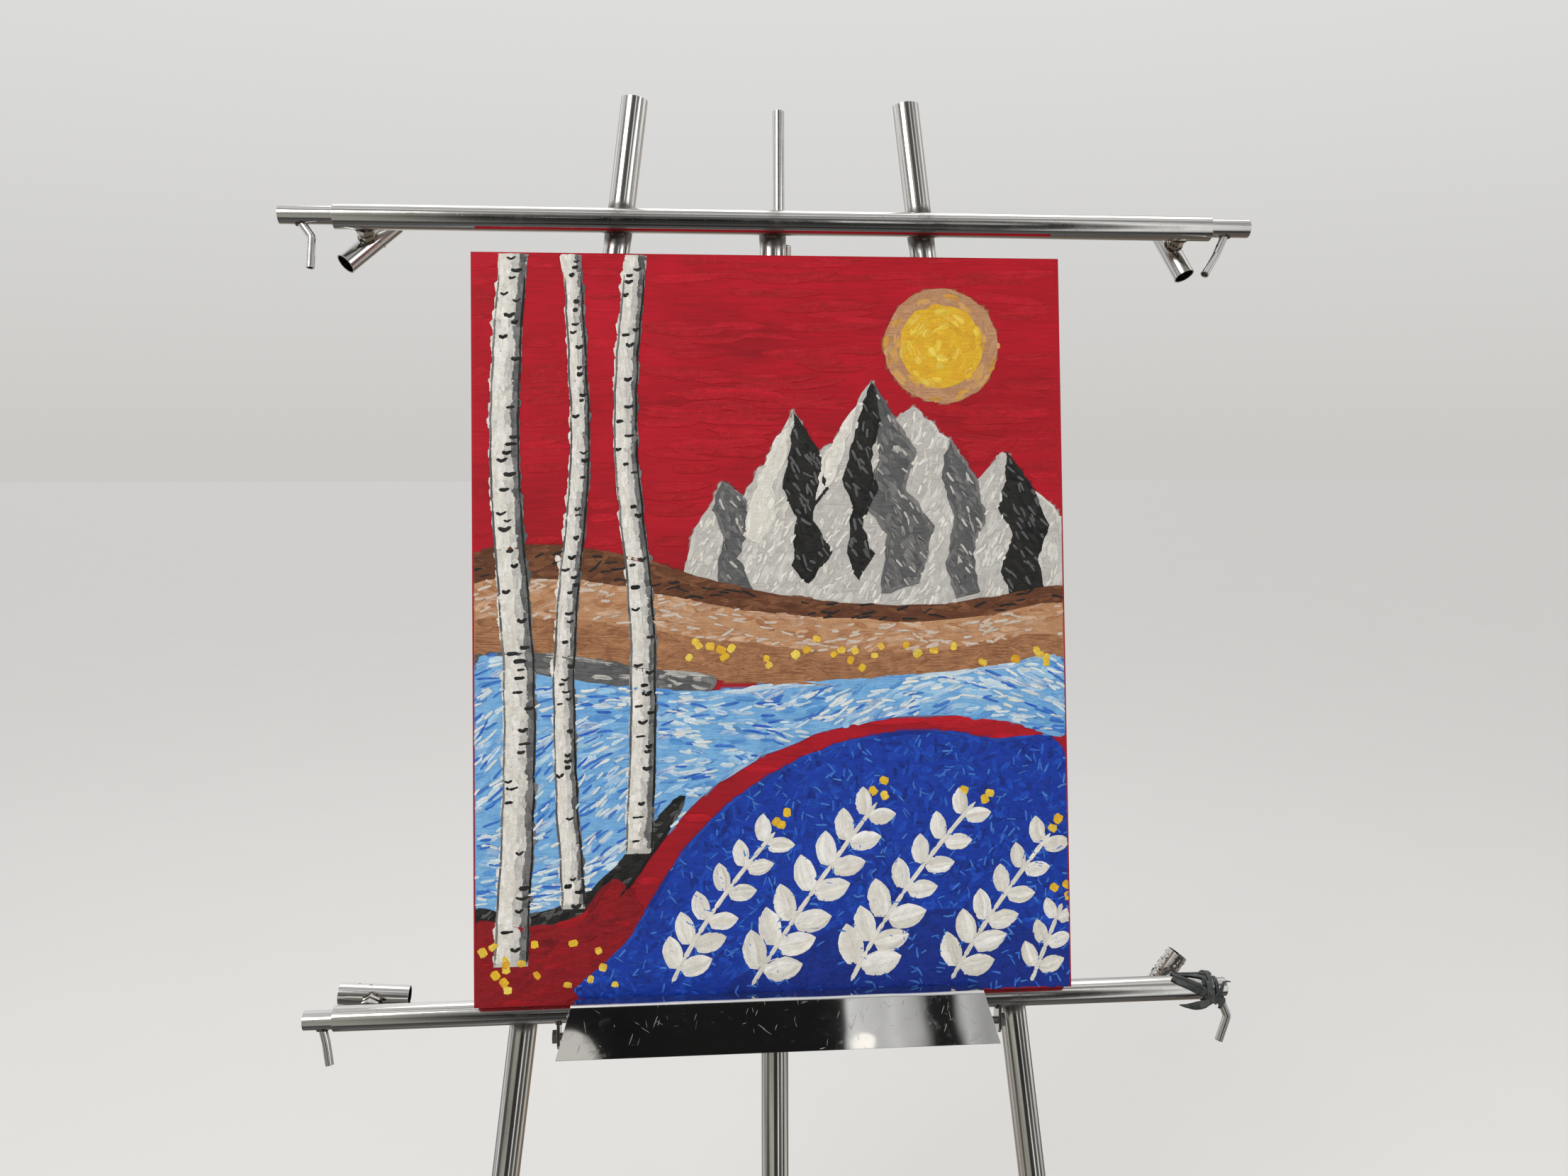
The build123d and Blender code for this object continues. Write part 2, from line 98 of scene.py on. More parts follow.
LEDGE_BEND = front_point(0, LOW_BAR_S + 0.0208, 0.0751)
canvas_lean = math.asin((CANVAS_BACK - UPRIGHT_R - CANVAS_REST) / (CANVAS_HEIGHT + CANVAS_FOOT))
canvas_up = front_direction(0, math.cos(canvas_lean), -math.sin(canvas_lean))
canvas_out = front_direction(0, math.sin(canvas_lean), math.cos(canvas_lean))
# These take a point of the canvas (across, up, out of its back) to the frame
CANVAS_AXES = np.array([(1, 0, 0), canvas_up, canvas_out])
CANVAS_ORIGIN = np.array(front_point(CANVAS_X, LOW_BAR_S, CANVAS_BACK)
                         + canvas_up * (CANVAS_FOOT + CANVAS_SEAT))


def canvas_to_frame(points):
    return np.asarray(points) @ CANVAS_AXES + CANVAS_ORIGIN


def add_camera():
    camera = bpy.data.objects.new("camera", bpy.data.cameras.new("camera"))
    camera.data.sensor_width = SENSOR_WIDTH
    camera.data.lens = SENSOR_WIDTH * FOCAL_PIXELS / IMAGE_WIDTH
    camera.location = CAMERA_PLACE
    camera.rotation_euler = [math.radians(turn) for turn in CAMERA_TURN]
    bpy.context.scene.collection.objects.link(camera)
    bpy.context.scene.camera = camera


class Tree:
    """Short calls for the nodes of a material or of the world."""

    def __init__(self, owner):
        owner.use_nodes = True
        self.tree = owner.node_tree
        self.nodes = self.tree.nodes

    def add(self, kind, inputs=None, **settings):
        node = self.nodes.new("ShaderNode" + kind)
        for key, value in settings.items():
            setattr(node, key, value)
        for key, value in (inputs or {}).items():
            self.set(node.inputs[key], value)
        return node

    def set(self, socket, value):
        if isinstance(value, bpy.types.NodeSocket):
            self.tree.links.new(value, socket)
        else:
            socket.default_value = value

    def math(self, operation, *values):
        return self.add("Math", dict(enumerate(values)), operation=operation).outputs[0]

    def times(self, a, b):
        return self.math("MULTIPLY", a, b)

    def chain(self, operation, values):
        """One value from several, taken two at a time."""
        total = values[0]
        for value in values[1:]:
            total = self.math(operation, total, value)
        return total

    def layered(self, total, *layers):
        """A start value plus each layer times its amount."""
        for layer, amount in layers:
            total = self.math("MULTIPLY_ADD", layer, amount, total)
        return total

    def vector(self, operation, a, b=(0, 0, 0)):
        node = self.add("VectorMath", {0: a}, operation=operation)
        self.set(node.inputs["Scale"] if operation == "SCALE" else node.inputs[1], b)
        return node.outputs[1 if operation in ("DISTANCE", "DOT_PRODUCT") else 0]

    def ramp(self, value, stops):
        node = self.add("ValToRGB", {"Fac": value})
        elements = node.color_ramp.elements
        while len(elements) < len(stops):
            elements.new(0.5)
        for element, (place, colour) in zip(elements, stops):
            element.position = place
            colour = colour if hasattr(colour, "__len__") else (colour,) * 3
            element.color = (*colour, 1)
        return node.outputs["Color"]

    def rise(self, value, low, high, top=1.0):
        return self.ramp(value, [(low, 0.0), (high, top)])

    def mix(self, factor, a, b, blend="MIX"):
        node = self.add("Mix", data_type="RGBA", blend_type=blend)
        self.set(node.inputs[0], factor)
        for socket, value in ((node.inputs[6], a), (node.inputs[7], b)):
            self.set(socket, (*value, 1) if isinstance(value, tuple) else value)
        return node.outputs[2]

    def coated(self, tint, *coats):
        """A colour under coats, each given as its cover and its colour."""
        for cover, colour in coats:
            tint = self.mix(cover, tint, colour)
        return tint

    def dimmed(self, colour, light):
        grey = self.add("CombineColor", {0: light, 1: light, 2: light}).outputs[0]
        return self.mix(1.0, colour, grey, "MULTIPLY")


class Surface(Tree):
    """A material: its layers are worked out, then finish joins them to the shader."""

    def __init__(self, name):
        self.material = bpy.data.materials.new(name)
        super().__init__(self.material)
        self.place = self.add("TexCoord").outputs["Object"]

    def turned(self, angles):
        return self.add("Mapping", {"Vector": self.place, "Rotation": angles}).outputs[0]

    def noise(self, scale, detail=2.0, rough=0.5, distort=0.0, at=None, stretch=None):
        at = self.place if at is None else at
        if stretch:
            at = self.add("Mapping", {"Vector": at, "Scale": stretch}).outputs[0]
        return self.add("TexNoise", {"Vector": at, "Scale": scale, "Detail": detail,
                                     "Roughness": rough, "Distortion": distort}).outputs["Fac"]

    def edge(self, radius):
        return self.add("Bevel", {"Radius": radius}, samples=4).outputs[0]

    def bumped(self, normal, *layers):
        """A normal with layers on it, each given as height, distance and strength."""
        for height, distance, strength in layers:
            node = self.add("Bump", {"Height": height, "Distance": distance, "Strength": strength})
            if normal is not None:
                self.set(node.inputs["Normal"], normal)
            normal = node.outputs["Normal"]
        return normal

    def weave(self):
        """Place on the canvas seen from its front, and the threads of the cloth."""
        x, y, z = self.add("SeparateXYZ", {0: self.place}).outputs
        flat = self.add("CombineXYZ", {0: x, 1: z}).outputs[0]
        threads = [self.add("TexWave", {"Vector": flat, "Scale": 240}, bands_direction=way).outputs["Fac"]
                   for way in "XY"]
        return flat, z, self.chain("ADD", threads)

    def finish(self, tint, roughness, normal=None, metallic=0.0, specular=0.5):
        shader = self.nodes["Principled BSDF"]
        self.set(shader.inputs["Base Color"], tint)
        self.set(shader.inputs["Roughness"], roughness)
        if normal is not None:
            self.set(shader.inputs["Normal"], normal)
        shader.inputs["Metallic"].default_value = metallic
        shader.inputs["Specular IOR Level"].default_value = specular
        return self.material


def shade(colour, light):
    return tuple(c * light for c in colour)


def add_mesh(name, vertices, faces, material, body="frame", smooth=True, slot=None):
    mesh = bpy.data.meshes.new(name)
    mesh.from_pydata([tuple(v) for v in vertices], [], faces)
    mesh.polygons.foreach_set("use_smooth", [smooth] * len(mesh.polygons))
    mesh.update()
    piece = bpy.data.objects.new(name, mesh)
    piece.data.materials.append(material)
    bpy.context.scene.collection.objects.link(piece)
    if body:
        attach(piece, body)
    return piece


def add_layer(mesh, name, kind, values):
    layer = mesh.attributes.new(name, kind, "POINT")
    layer.data.foreach_set("color" if kind == "FLOAT_COLOR" else "value",
                           np.asarray(values, np.float32).ravel())


def grid(rows, columns, around=False, closed=False):
    """Quads between rows of points. Around joins each row's ends, closed the last row to the first."""
    return [(j * columns + i, j * columns + (i + 1) % columns,
             (j + 1) % rows * columns + (i + 1) % columns, (j + 1) % rows * columns + i)
            for j in range(rows - (not closed)) for i in range(columns - (not around))]


# Steel. Scratches and streaks run along the tube, so each tube has its own direction. Each spot is a place
# darkened round a weld: partly the weld's heat tint, partly painted shade where the parts meet.
def steel_material(name, along, base=(0.70, 0.69, 0.66), rough=0.07, streaks=1.0, spots=(),
                   spot_radius=0.016, pitted=0.0):
    s = Surface(name)
    lined = s.turned(tuple(Vector(along).rotation_difference(Vector((0, 0, 1))).to_euler()))
    fine = s.noise(4200, 3, 0.6, at=lined, stretch=(1, 1, 0.004))
    broad = s.noise(520, 4, 0.6, at=lined, stretch=(1, 1, 0.012))
    patch = s.noise(22, 5, 0.62)
    grime = s.noise(240, 5, 0.7)
    pits = s.rise(s.noise(620, 1), 0.80 - pitted, 0.83 - pitted)
    tint = s.coated(shade(base, 0.90), (patch, base),
                    (s.times(broad, 0.22 * streaks), (0.36, 0.35, 0.33)),
                    (s.rise(grime, 0.60, 0.78, 0.6), (0.20, 0.175, 0.14)),
                    (s.times(pits, 0.7), (0.10, 0.09, 0.08)))
    roughness = s.layered(rough - 0.03, (fine, 0.07), (s.rise(patch, 0.45, 0.70), 0.08), (pits, 0.2))
    # painted shade: the steel is darkened round each welded joint, together with the weld's heat tint
    if spots:
        away = [s.layered(s.vector("DISTANCE", s.place, tuple(spot)), (grime, -0.006)) for spot in spots]
        joint_shade_and_heat_tint = s.chain("MAXIMUM", [s.ramp(s.math("DIVIDE", far, spot_radius), [(0.70, 1.0), (0.97, 0.0)])
                                    for far in away])
        tint = s.mix(s.times(joint_shade_and_heat_tint, 0.80), tint, (0.050, 0.040, 0.032))
        roughness = s.layered(roughness, (joint_shade_and_heat_tint, 0.30))
    normal = s.bumped(s.edge(0.0006), (broad, 0.000016 * streaks, 1.0), (fine, 0.0000015 * streaks, 1.0),
                      (pits, 0.00004, 0.5))
    return s.finish(tint, roughness, normal, metallic=1.0)


def sheet_steel_material():
    s = Surface("sheet_steel")
    smudge = s.rise(s.noise(60, 6, 0.7, 0.6), 0.54, 0.76)
    # a few long hairline scratches, steep ones first, and a haze of fine ones
    lines = s.chain("MAXIMUM", [
        s.rise(s.noise(scale, 1, 0.4, 0.1, s.turned((0, math.radians(turn), 0)), (0.8, 1, 16)), low, low + 0.015)
        for turn, scale, low in ((68, 44, 0.765), (101, 52, 0.77), (80, 37, 0.77), (14, 48, 0.78),
                                 (-33, 40, 0.785))])
    haze = s.noise(3000, 3, 0.6, stretch=(0.02, 1, 1))
    # the upper bend is rubbed dull, and its colour is painted lighter there: a painted highlight where it catches
    # the light
    x, y, z = s.add("SeparateXYZ", {0: s.place}).outputs
    level = s.add("CombineXYZ", {1: y, 2: z}).outputs[0]
    bend = s.ramp(s.times(s.vector("DISTANCE", level, tuple(LEDGE_BEND)), 100.0), [(0.14, 1.0), (0.24, 0.0)])
    # painted highlight: the bend's colour is lightened
    tint = s.coated((0.56, 0.555, 0.54), (s.noise(22, 5, 0.65), (0.64, 0.635, 0.62)),
                    (s.times(lines, 0.4), (0.90, 0.90, 0.88)), (bend, (0.95, 0.95, 0.94)))
    roughness = s.layered(0.02, (smudge, 0.09), (haze, 0.015), (lines, 0.3), (bend, 0.36))
    normal = s.bumped(s.edge(0.0006), (s.noise(9), 0.0008, 0.35), (lines, 0.00004, 1.0))
    return s.finish(tint, roughness, normal, metallic=1.0)


def fastener_material(name="fastener_steel", base=(0.42, 0.41, 0.39), rough=0.30):
    s = Surface(name)
    grain = s.noise(1300, 4, 0.6)
    rust = s.rise(s.noise(330, 5, 0.7), 0.60, 0.74, 0.7)
    tint = s.coated(shade(base, 0.55), (s.noise(160, 4, 0.6), base), (rust, (0.16, 0.10, 0.06)))
    normal = s.bumped(s.edge(0.0005), (grain, 0.00008, 0.8))
    return s.finish(tint, s.layered(rough - 0.08, (grain, 0.25)), normal, metallic=1.0)


def weld_material():
    s = Surface("weld")
    grain = s.noise(900, 5, 0.7)
    tint = s.ramp(s.noise(230, 4, 0.6), [(0.30, (0.03, 0.026, 0.022)), (0.50, (0.12, 0.10, 0.08)),
                                         (0.66, (0.34, 0.31, 0.27)), (0.80, (0.20, 0.15, 0.17))])
    return s.finish(tint, s.layered(0.22, (grain, 0.35)), s.bumped(None, (grain, 0.0002, 0.9)), metallic=1.0)


def rubber_material(name, colour, dust, rough):
    s = Surface(name)
    patch = s.noise(90, 5, 0.65)
    tint = s.mix(s.rise(patch, 0.45, 0.72, 0.6), colour, dust)
    normal = s.bumped(s.edge(0.001), (s.noise(1500, 4, 0.6), 0.00012, 0.8))
    return s.finish(tint, s.layered(rough - 0.1, (patch, 0.3)), normal)


# Grain runs along each rail of the frame: upward at the sides, across elsewhere
def wood_material():
    s = Surface("stretcher_wood")
    across, upward = (s.noise(520, 4, 0.6, 0.4, stretch=way) for way in ((0.05, 1, 1), (1, 1, 0.05)))
    x = s.add("SeparateXYZ", {0: s.place}).outputs[0]
    side = s.math("GREATER_THAN", s.math("ABSOLUTE", s.math("SUBTRACT", x, CANVAS_X)), 0.264)
    grain = s.math("ADD", s.times(upward, side), s.times(across, s.math("SUBTRACT", 1.0, side)))
    tint = s.ramp(grain, [(0.30, (0.34, 0.20, 0.09)), (0.5, (0.62, 0.43, 0.23)), (0.75, (0.74, 0.56, 0.34))])
    tint = s.mix(s.times(s.noise(14, 4), 0.4), tint, (0.50, 0.33, 0.17))
    normal = s.bumped(s.edge(0.0008), (grain, 0.0002, 0.7))
    return s.finish(tint, s.layered(0.5, (grain, 0.2)), normal)


# Paint: the stroke's two colours come with the mesh, and its UV runs along and across it
def paint_material(name):
    s = Surface(name)
    first, second = (s.add("Attribute", attribute_name=key).outputs["Color"] for key in ("paint", "paint_streak"))
    uv = s.add("UVMap", uv_map="stroke").outputs[0]
    bristles = s.noise(2400, 3, 0.62, at=uv, stretch=(0.03, 1, 1))
    strands = s.noise(900, 3, 0.55, at=uv, stretch=(0.05, 1, 1))
    cloud = s.noise(70, 4, 0.6)
    streak = s.rise(s.math("ADD", s.times(strands, 0.65), s.times(cloud, 0.35)), 0.42, 0.60)
    # short dabs laid in all directions: each cell turns its own bristle marks
    flat, z, threads = s.weave()
    swirl = s.add("TexNoise", {"Vector": flat, "Scale": 160, "Detail": 2}).outputs["Color"]
    warped = s.vector("ADD", flat, s.vector("SCALE", swirl, 0.004))
    dabs = []
    for scale in (150, 95):
        cell = s.add("TexVoronoi", {"Vector": warped, "Scale": scale}, voronoi_dimensions="2D")
        distance, colour, centre = (cell.outputs[key] for key in ("Distance", "Color", "Position"))
        angle = s.times(s.add("SeparateColor", {0: colour}).outputs[0], 6.283)
        turned = s.add("VectorRotate", {"Vector": s.vector("SUBTRACT", warped, centre), "Angle": angle},
                       rotation_type="Z_AXIS").outputs[0]
        marks = s.noise(900, 2, 0.6, at=s.vector("ADD", turned, colour), stretch=(0.10, 1, 1))
        dabs.append(s.math("ADD", marks, s.times(s.rise(distance, 0.25, 0.62), 0.35)))
    dabs = s.chain("ADD", dabs)
    tint = s.dimmed(s.mix(streak, first, second), s.layered(0.84, (dabs, 0.13)))
    normal = s.bumped(None, (threads, 0.000032, 1.0), (dabs, 0.00075, 1.0),
                      (s.math("ADD", bristles, strands), 0.00022, 1.0), (s.noise(2600, 3, 0.6), 0.00004, 1.0))
    return s.finish(tint, s.layered(0.32, (strands, 0.25)), normal, specular=0.28)


# The cloth itself: thin crimson paint brushed across the front and round the edges, raw at the back
def cloth_material():
    s = Surface("painted_canvas")
    brushed = s.noise(760, 4, 0.62, 0.2, stretch=(0.035, 1, 1))
    hairs = s.noise(2400, 3, 0.6, stretch=(0.02, 1, 1))
    cloud = s.noise(16, 5, 0.6, stretch=(0.5, 1, 1))
    flat, z, threads = s.weave()
    high = s.add("MapRange", {0: z, 1: 0.62, 2: 1.38}).outputs[0]
    tone = s.math("ADD", s.times(brushed, 0.5), s.times(cloud, 0.6))
    tint = s.ramp(tone, [(0.36, (0.25, 0.002, 0.008)), (0.52, (0.42, 0.002, 0.012)),
                         (0.66, (0.52, 0.003, 0.018)), (0.80, (0.60, 0.012, 0.030))])
    under = s.add("Attribute", attribute_name="paint").outputs
    raw = s.add("Attribute", attribute_name="raw").outputs["Fac"]
    linen = s.ramp(s.noise(700, 4, 0.7), [(0.3, (0.50, 0.46, 0.37)), (0.7, (0.72, 0.69, 0.60))])
    spill = s.rise(s.math("ADD", raw, s.times(cloud, 0.5)), 0.70, 0.78)
    # the red is darker towards the bottom of the canvas
    tint = s.coated(tint, (s.times(s.math("SUBTRACT", 1.0, high), 0.5), (0.26, 0.008, 0.014)),
                    (under["Alpha"], under["Color"]), (spill, linen))
    normal = s.bumped(None, (threads, 0.0001, 1.0), (brushed, 0.00030, 1.0), (hairs, 0.00010, 1.0))
    return s.finish(tint, s.layered(0.34, (brushed, 0.3)), normal, specular=0.22)


# The stretched cloth as one skin: front, rounded edges, sides and the fold on the back
CANVAS_STEP = 0.0042
CANVAS_SLACK = 0.0006
RAW_FROM = 0.006                 # paint on the back stops about here
FOLD_HEIGHT = 0.0002
SIDE_WAVE = 0.00018
FOLD_WAVE = 0.0012


def build_cloth(undercoat):
    half = CANVAS_WIDTH / 2 - CANVAS_EDGE
    low, high = CANVAS_EDGE, CANVAS_HEIGHT - CANVAS_EDGE

    def skin(nx, ny, depth):
        """Points of a slightly slack face, at a height over the canvas's back."""
        x, y = np.meshgrid(np.linspace(-half, half, nx), np.linspace(low, high, ny))
        sag = CANVAS_SLACK * np.sin(np.pi * (x + half) / (2 * half)) * np.sin(np.pi * y / CANVAS_HEIGHT)
        return np.stack([x, y, depth - sag * 0.6], 2).reshape(-1, 3)

    nx, ny = int(CANVAS_WIDTH / CANVAS_STEP), int(CANVAS_HEIGHT / CANVAS_STEP)
    front = skin(nx, ny, CANVAS_DEPTH - 0.00005)
    faces = grid(ny, nx)
    ids = np.arange(nx * ny).reshape(ny, nx)
    rim = np.r_[ids[0], ids[1:, -1], ids[-1, -2::-1], ids[-2:0:-1, 0]]
    base = front[rim]
    loop = len(rim)
    outward = np.stack([1.0 * np.isclose(base[:, k], upper) - np.isclose(base[:, k], lower)
                        for k, lower, upper in ((0, -half, half), (1, low, high))], 1)
    # each ring: how far out from the front's border, height, how raw the cloth is, how wavy
    rings = [(CANVAS_EDGE * math.sin(t), CANVAS_DEPTH - CANVAS_EDGE * (1 - math.cos(t)), 0.0, 0)
             for t in np.linspace(0, math.pi / 2, 5)[1:]]
    rings += [(CANVAS_EDGE, z, 0.0, SIDE_WAVE) for z in np.linspace(CANVAS_DEPTH - CANVAS_EDGE, 0.0012, 7)[1:]]
    rings += [(CANVAS_EDGE - 0.0008, FOLD_HEIGHT, 0.15, 0)]
    rings += [(CANVAS_EDGE - d, FOLD_HEIGHT, min(1.0, d / RAW_FROM), 0) for d in (0.003, 0.006, 0.011, 0.017)]
    rings += [(CANVAS_EDGE - CANVAS_FOLD, FOLD_HEIGHT, 1.0, FOLD_WAVE),
              (CANVAS_EDGE - CANVAS_FOLD - 0.0002, FOLD_HEIGHT + 0.0006, 1.0, FOLD_WAVE)]
    rng = np.random.default_rng(11)
    wavy = np.zeros(loop)
    for waves, size in ((23, 0.5), (41, 0.3), (67, 0.2)):
        wavy += size * np.sin(np.arange(loop) * waves * 2 * np.pi / loop + rng.uniform(0, 6))
    vertices, raw = [front], [np.zeros(len(front))]
    before, count = rim, len(front)
    centre = np.array([0, CANVAS_HEIGHT / 2])
    for out, z, rawness, wave in rings:
        ring = base.copy()
        ring[:, :2] += outward * np.minimum(out + wave * wavy, CANVAS_EDGE)[:, None]
        ring[:, 2] = z
        if out < 0:
            # points along a side are drawn in at the corners, so that the fold lies flat
            limit = np.array([half, CANVAS_HEIGHT / 2 - CANVAS_EDGE]) + out
            ring[:, :2] = np.clip(ring[:, :2], centre - limit, centre + limit)
        vertices.append(ring)
        raw.append(np.full(loop, rawness))
        now = np.arange(count, count + loop)
        faces += np.stack([before, now, np.roll(now, -1), np.roll(before, -1)], 1).tolist()
        before, count = now, count + loop
    cloth = add_mesh("stretched_cloth", canvas_to_frame(np.concatenate(vertices)), faces,
                     LOOKS["painted_canvas"], slot="painted_canvas")
    colours = np.zeros((count, 4))
    colours[:len(front)] = undercoat(*front[:, :2].T * 1000)
    add_layer(cloth.data, "paint", "FLOAT_COLOR", colours)
    add_layer(cloth.data, "raw", "FLOAT", np.concatenate(raw))
    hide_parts("canvas_cloth")
    # its unpainted back face, seen inside the wooden frame
    nx, ny = 30, 38
    behind = skin(nx, ny, CANVAS_DEPTH - 0.0006)
    back_face = add_mesh("cloth_back_face", canvas_to_frame(behind),
                         [(a, d, c, b) for a, b, c, d in grid(ny, nx)], LOOKS["painted_canvas"],
                         slot="painted_canvas")
    add_layer(back_face.data, "raw", "FLOAT", np.ones(len(behind)))
    return cloth, back_face


# The picture: an invented landscape of flat colour shapes. Places in millimetres, x from the
# canvas's middle, y up from its foot. Colours are linear.
HALF_WIDE = CANVAS_WIDTH * 500
TALL = CANVAS_HEIGHT * 1000
PAINT_INSET = 0.6
MAP_STEP = 2.0
CRIMSON = [(0.47, 0.002, 0.012), (0.53, 0.003, 0.018), (0.38, 0.002, 0.008)]
DEEP_RED = [(0.24, 0.003, 0.008), (0.31, 0.004, 0.010), (0.16, 0.002, 0.006)]
ROYAL = [(0.004, 0.046, 0.42), (0.003, 0.030, 0.30), (0.010, 0.085, 0.55), (0.004, 0.020, 0.20)]
SKY = [(0.13, 0.36, 0.70), (0.24, 0.50, 0.78), (0.07, 0.24, 0.60), (0.46, 0.66, 0.80), (0.74, 0.80, 0.82)]
WHITE = [(0.78, 0.75, 0.68), (0.70, 0.66, 0.58), (0.84, 0.82, 0.78)]
PALE = [(0.60, 0.58, 0.53), (0.46, 0.44, 0.42), (0.72, 0.70, 0.66)]
GREY = [(0.14, 0.14, 0.14), (0.08, 0.08, 0.085), (0.24, 0.235, 0.23)]
BLACK = [(0.012, 0.012, 0.012), (0.03, 0.028, 0.026), (0.006, 0.010, 0.008)]
TAN = [(0.46, 0.22, 0.10), (0.58, 0.33, 0.18), (0.36, 0.15, 0.06), (0.66, 0.44, 0.30)]
BROWN = [(0.16, 0.055, 0.022), (0.10, 0.032, 0.014), (0.24, 0.095, 0.040)]
YELLOW = [(0.80, 0.50, 0.025), (0.72, 0.36, 0.015), (0.86, 0.66, 0.10)]

SUN = (178.0, 668.0)
# name, colours, direction of the strokes in degrees (None: all ways), stroke length, width, outline
SHAPES = [
    ("sun_ring", TAN[:2] + YELLOW[1:2], "sun", 16, 5, "ring 60"),
    ("sun", YELLOW, "sun", 16, 6, "ring 44"),
    ("far_peaks", PALE, 62, 18, 5,
     "-96,414 -84,470 -52,528 -30,512 2,566 22,600 48,556 70,574 104,632 128,590 150,604 186,570 214,528 "
     "244,560 272,520 305,486 305,396 200,380 60,372 -60,384"),
    ("peak_shade_1", BLACK, -58, 16, 5,
     "22,600 48,556 58,520 40,494 60,452 36,420 18,440 26,486 10,520 20,560"),
    ("peak_shade_2", GREY, -58, 16, 5,
     "104,632 128,590 150,560 138,520 168,478 150,420 112,410 120,470 96,500 112,560"),
    ("peak_shade_3", BLACK, -52, 14, 4,
     "104,632 112,592 100,548 110,520 92,486 104,450 88,424 76,452 84,500 72,530 88,580"),
    ("peak_shade_4", GREY, -60, 14, 5, "-52,528 -30,512 -22,476 -38,448 -20,414 -44,400 -58,430 -50,470 -62,500"),
    ("peak_shade_5", BLACK, -50, 14, 4,
     "244,560 272,520 290,480 276,440 288,404 250,396 238,430 252,470 236,500 246,530"),
    ("peak_shade_6", GREY, -50, 14, 4, "186,570 214,528 222,490 206,450 214,410 190,404 180,440 190,490 176,530"),
    ("snow_1", WHITE, 66, 14, 5, "22,600 14,556 -4,520 4,490 -16,462 -30,470 -24,500 -10,540"),
    ("snow_2", WHITE, 60, 14, 5, "104,632 84,596 74,560 62,530 44,506 52,550 76,588"),
    ("field_1", BROWN, 6, 22, 5,
     "-305,452 -220,462 -120,442 -40,420 60,402 160,398 240,408 305,416 305,386 200,372 80,374 -40,384 "
     "-160,404 -305,408"),
    ("field_2", TAN, 4, 22, 5,
     "-305,424 -200,426 -100,408 0,390 100,382 200,384 305,398 305,352 200,342 80,340 -40,348 -160,366 -305,374"),
    ("field_3", TAN[:1] + BROWN[2:], 2, 20, 5,
     "-305,388 -180,384 -60,364 60,352 180,352 305,366 305,326 180,316 60,316 -60,324 -180,342 -305,344"),
    ("field_4", GREY + PALE[:1], -6, 18, 5, "-305,352 -210,350 -120,334 -60,326 -90,300 -180,306 -305,316"),
    ("water", SKY, "water", 24, 5.5,
     "305,340 240,334 160,326 80,322 0,318 -70,312 -150,318 -230,330 -305,336 -305,70 -250,64 -190,84 "
     "-150,120 -110,170 -60,218 0,252 80,276 160,284 240,276 305,262"),
    ("bank", BLACK + GREY[:1], 30, 14, 4,
     "-305,98 -262,92 -208,104 -170,132 -134,174 -96,208 -100,188 -140,130 -176,86 -220,60 -305,52"),
    ("meadow", DEEP_RED + CRIMSON[2:], 12, 26, 7, "-305,84 -250,78 -196,92 -160,124 -120,60 -90,0 -305,0"),
    ("hill", ROYAL, None, 14, 4.5,
     "-176,0 -150,62 -110,130 -60,188 0,230 70,258 150,268 230,258 305,236 305,0"),
    ("low_hill", ROYAL[1:2] + ROYAL[3:], None, 14, 4.5, "-40,0 10,46 90,78 180,84 250,66 305,40 305,0"),
]
# Finer marks on some of them: name, colours, direction, length, width, lift, cover, ridge
DETAILS = [
    ("water", SKY[3:] + WHITE[:1], "water", 16, 2.6, 0.46, 0.22, 0.16),
    ("water", SKY[2:3] + ROYAL[2:3], "water", 20, 2.4, 0.44, 0.14, 0.10),
    ("hill", ROYAL[2:3] + SKY[2:3], None, 10, 1.8, 0.48, 0.08, 0.18),
    ("far_peaks", WHITE, 60, 10, 2.4, 0.46, 0.20, 0.18),
    ("field_2", TAN[3:] + PALE[:1], 4, 14, 2.4, 0.46, 0.22, 0.14),
    ("field_1", BLACK[:2], 6, 16, 2.2, 0.44, 0.14, 0.12),
    ("low_hill", ROYAL[2:3] + SKY[2:3], None, 10, 1.8, 0.50, 0.09, 0.18),
    *(("peak_shade_%d" % n, GREY[:2], -58, 12, 2.4, 0.50, 0.22, 0.16) for n in (1, 3, 5)),
    *(("peak_shade_%d" % n, PALE[:2] + BLACK[:1], -58, 11, 2.2, 0.50, 0.16, 0.16) for n in (2, 4, 6)),
]
# Four places up each birch, half its width at the foot and at the top
TRUNKS = [((-268, 40), (-258, 300), (-272, 560), (-262, 762), 17, 14),
          ((-206, 96), (-214, 330), (-196, 560), (-204, 762), 12, 9),
          ((-140, 150), (-134, 360), (-150, 580), (-138, 762), 14, 11)]
# Stems on the hill: start, bend, end, number of leaf pairs, leaf length
SPRIGS = [((-108, 18), (-70, 96), (6, 176), 6, 38), ((-28, 12), (30, 104), (112, 206), 7, 42),
          ((74, 14), (120, 104), (216, 204), 7, 42), ((178, 12), (220, 84), (292, 168), 6, 40),
          ((262, 8), (276, 40), (298, 92), 3, 30)]


def turns(count):
    return [2 * math.pi * k / count for k in range(count)]


def unit(angle):
    return np.array([math.cos(angle), math.sin(angle)])


def leftward(heading):
    """Unit vectors a quarter turn to the left of each heading."""
    heading = heading / np.maximum(np.hypot(*heading.T), 1e-9)[:, None]
    return np.stack([-heading[:, 1], heading[:, 0]], 1)


def curve(places, parts):
    """Catmull-Rom curve from the second place up to the last but one, which is left out."""
    return [0.5 * (2 * b + (c - a) * t + (2 * a - 5 * b + 4 * c - d) * t ** 2 + (3 * b - a - 3 * c + d) * t ** 3)
            for a, b, c, d in zip(places, places[1:], places[2:], places[3:])
            for t in np.linspace(0, 1, parts, endpoint=False)]


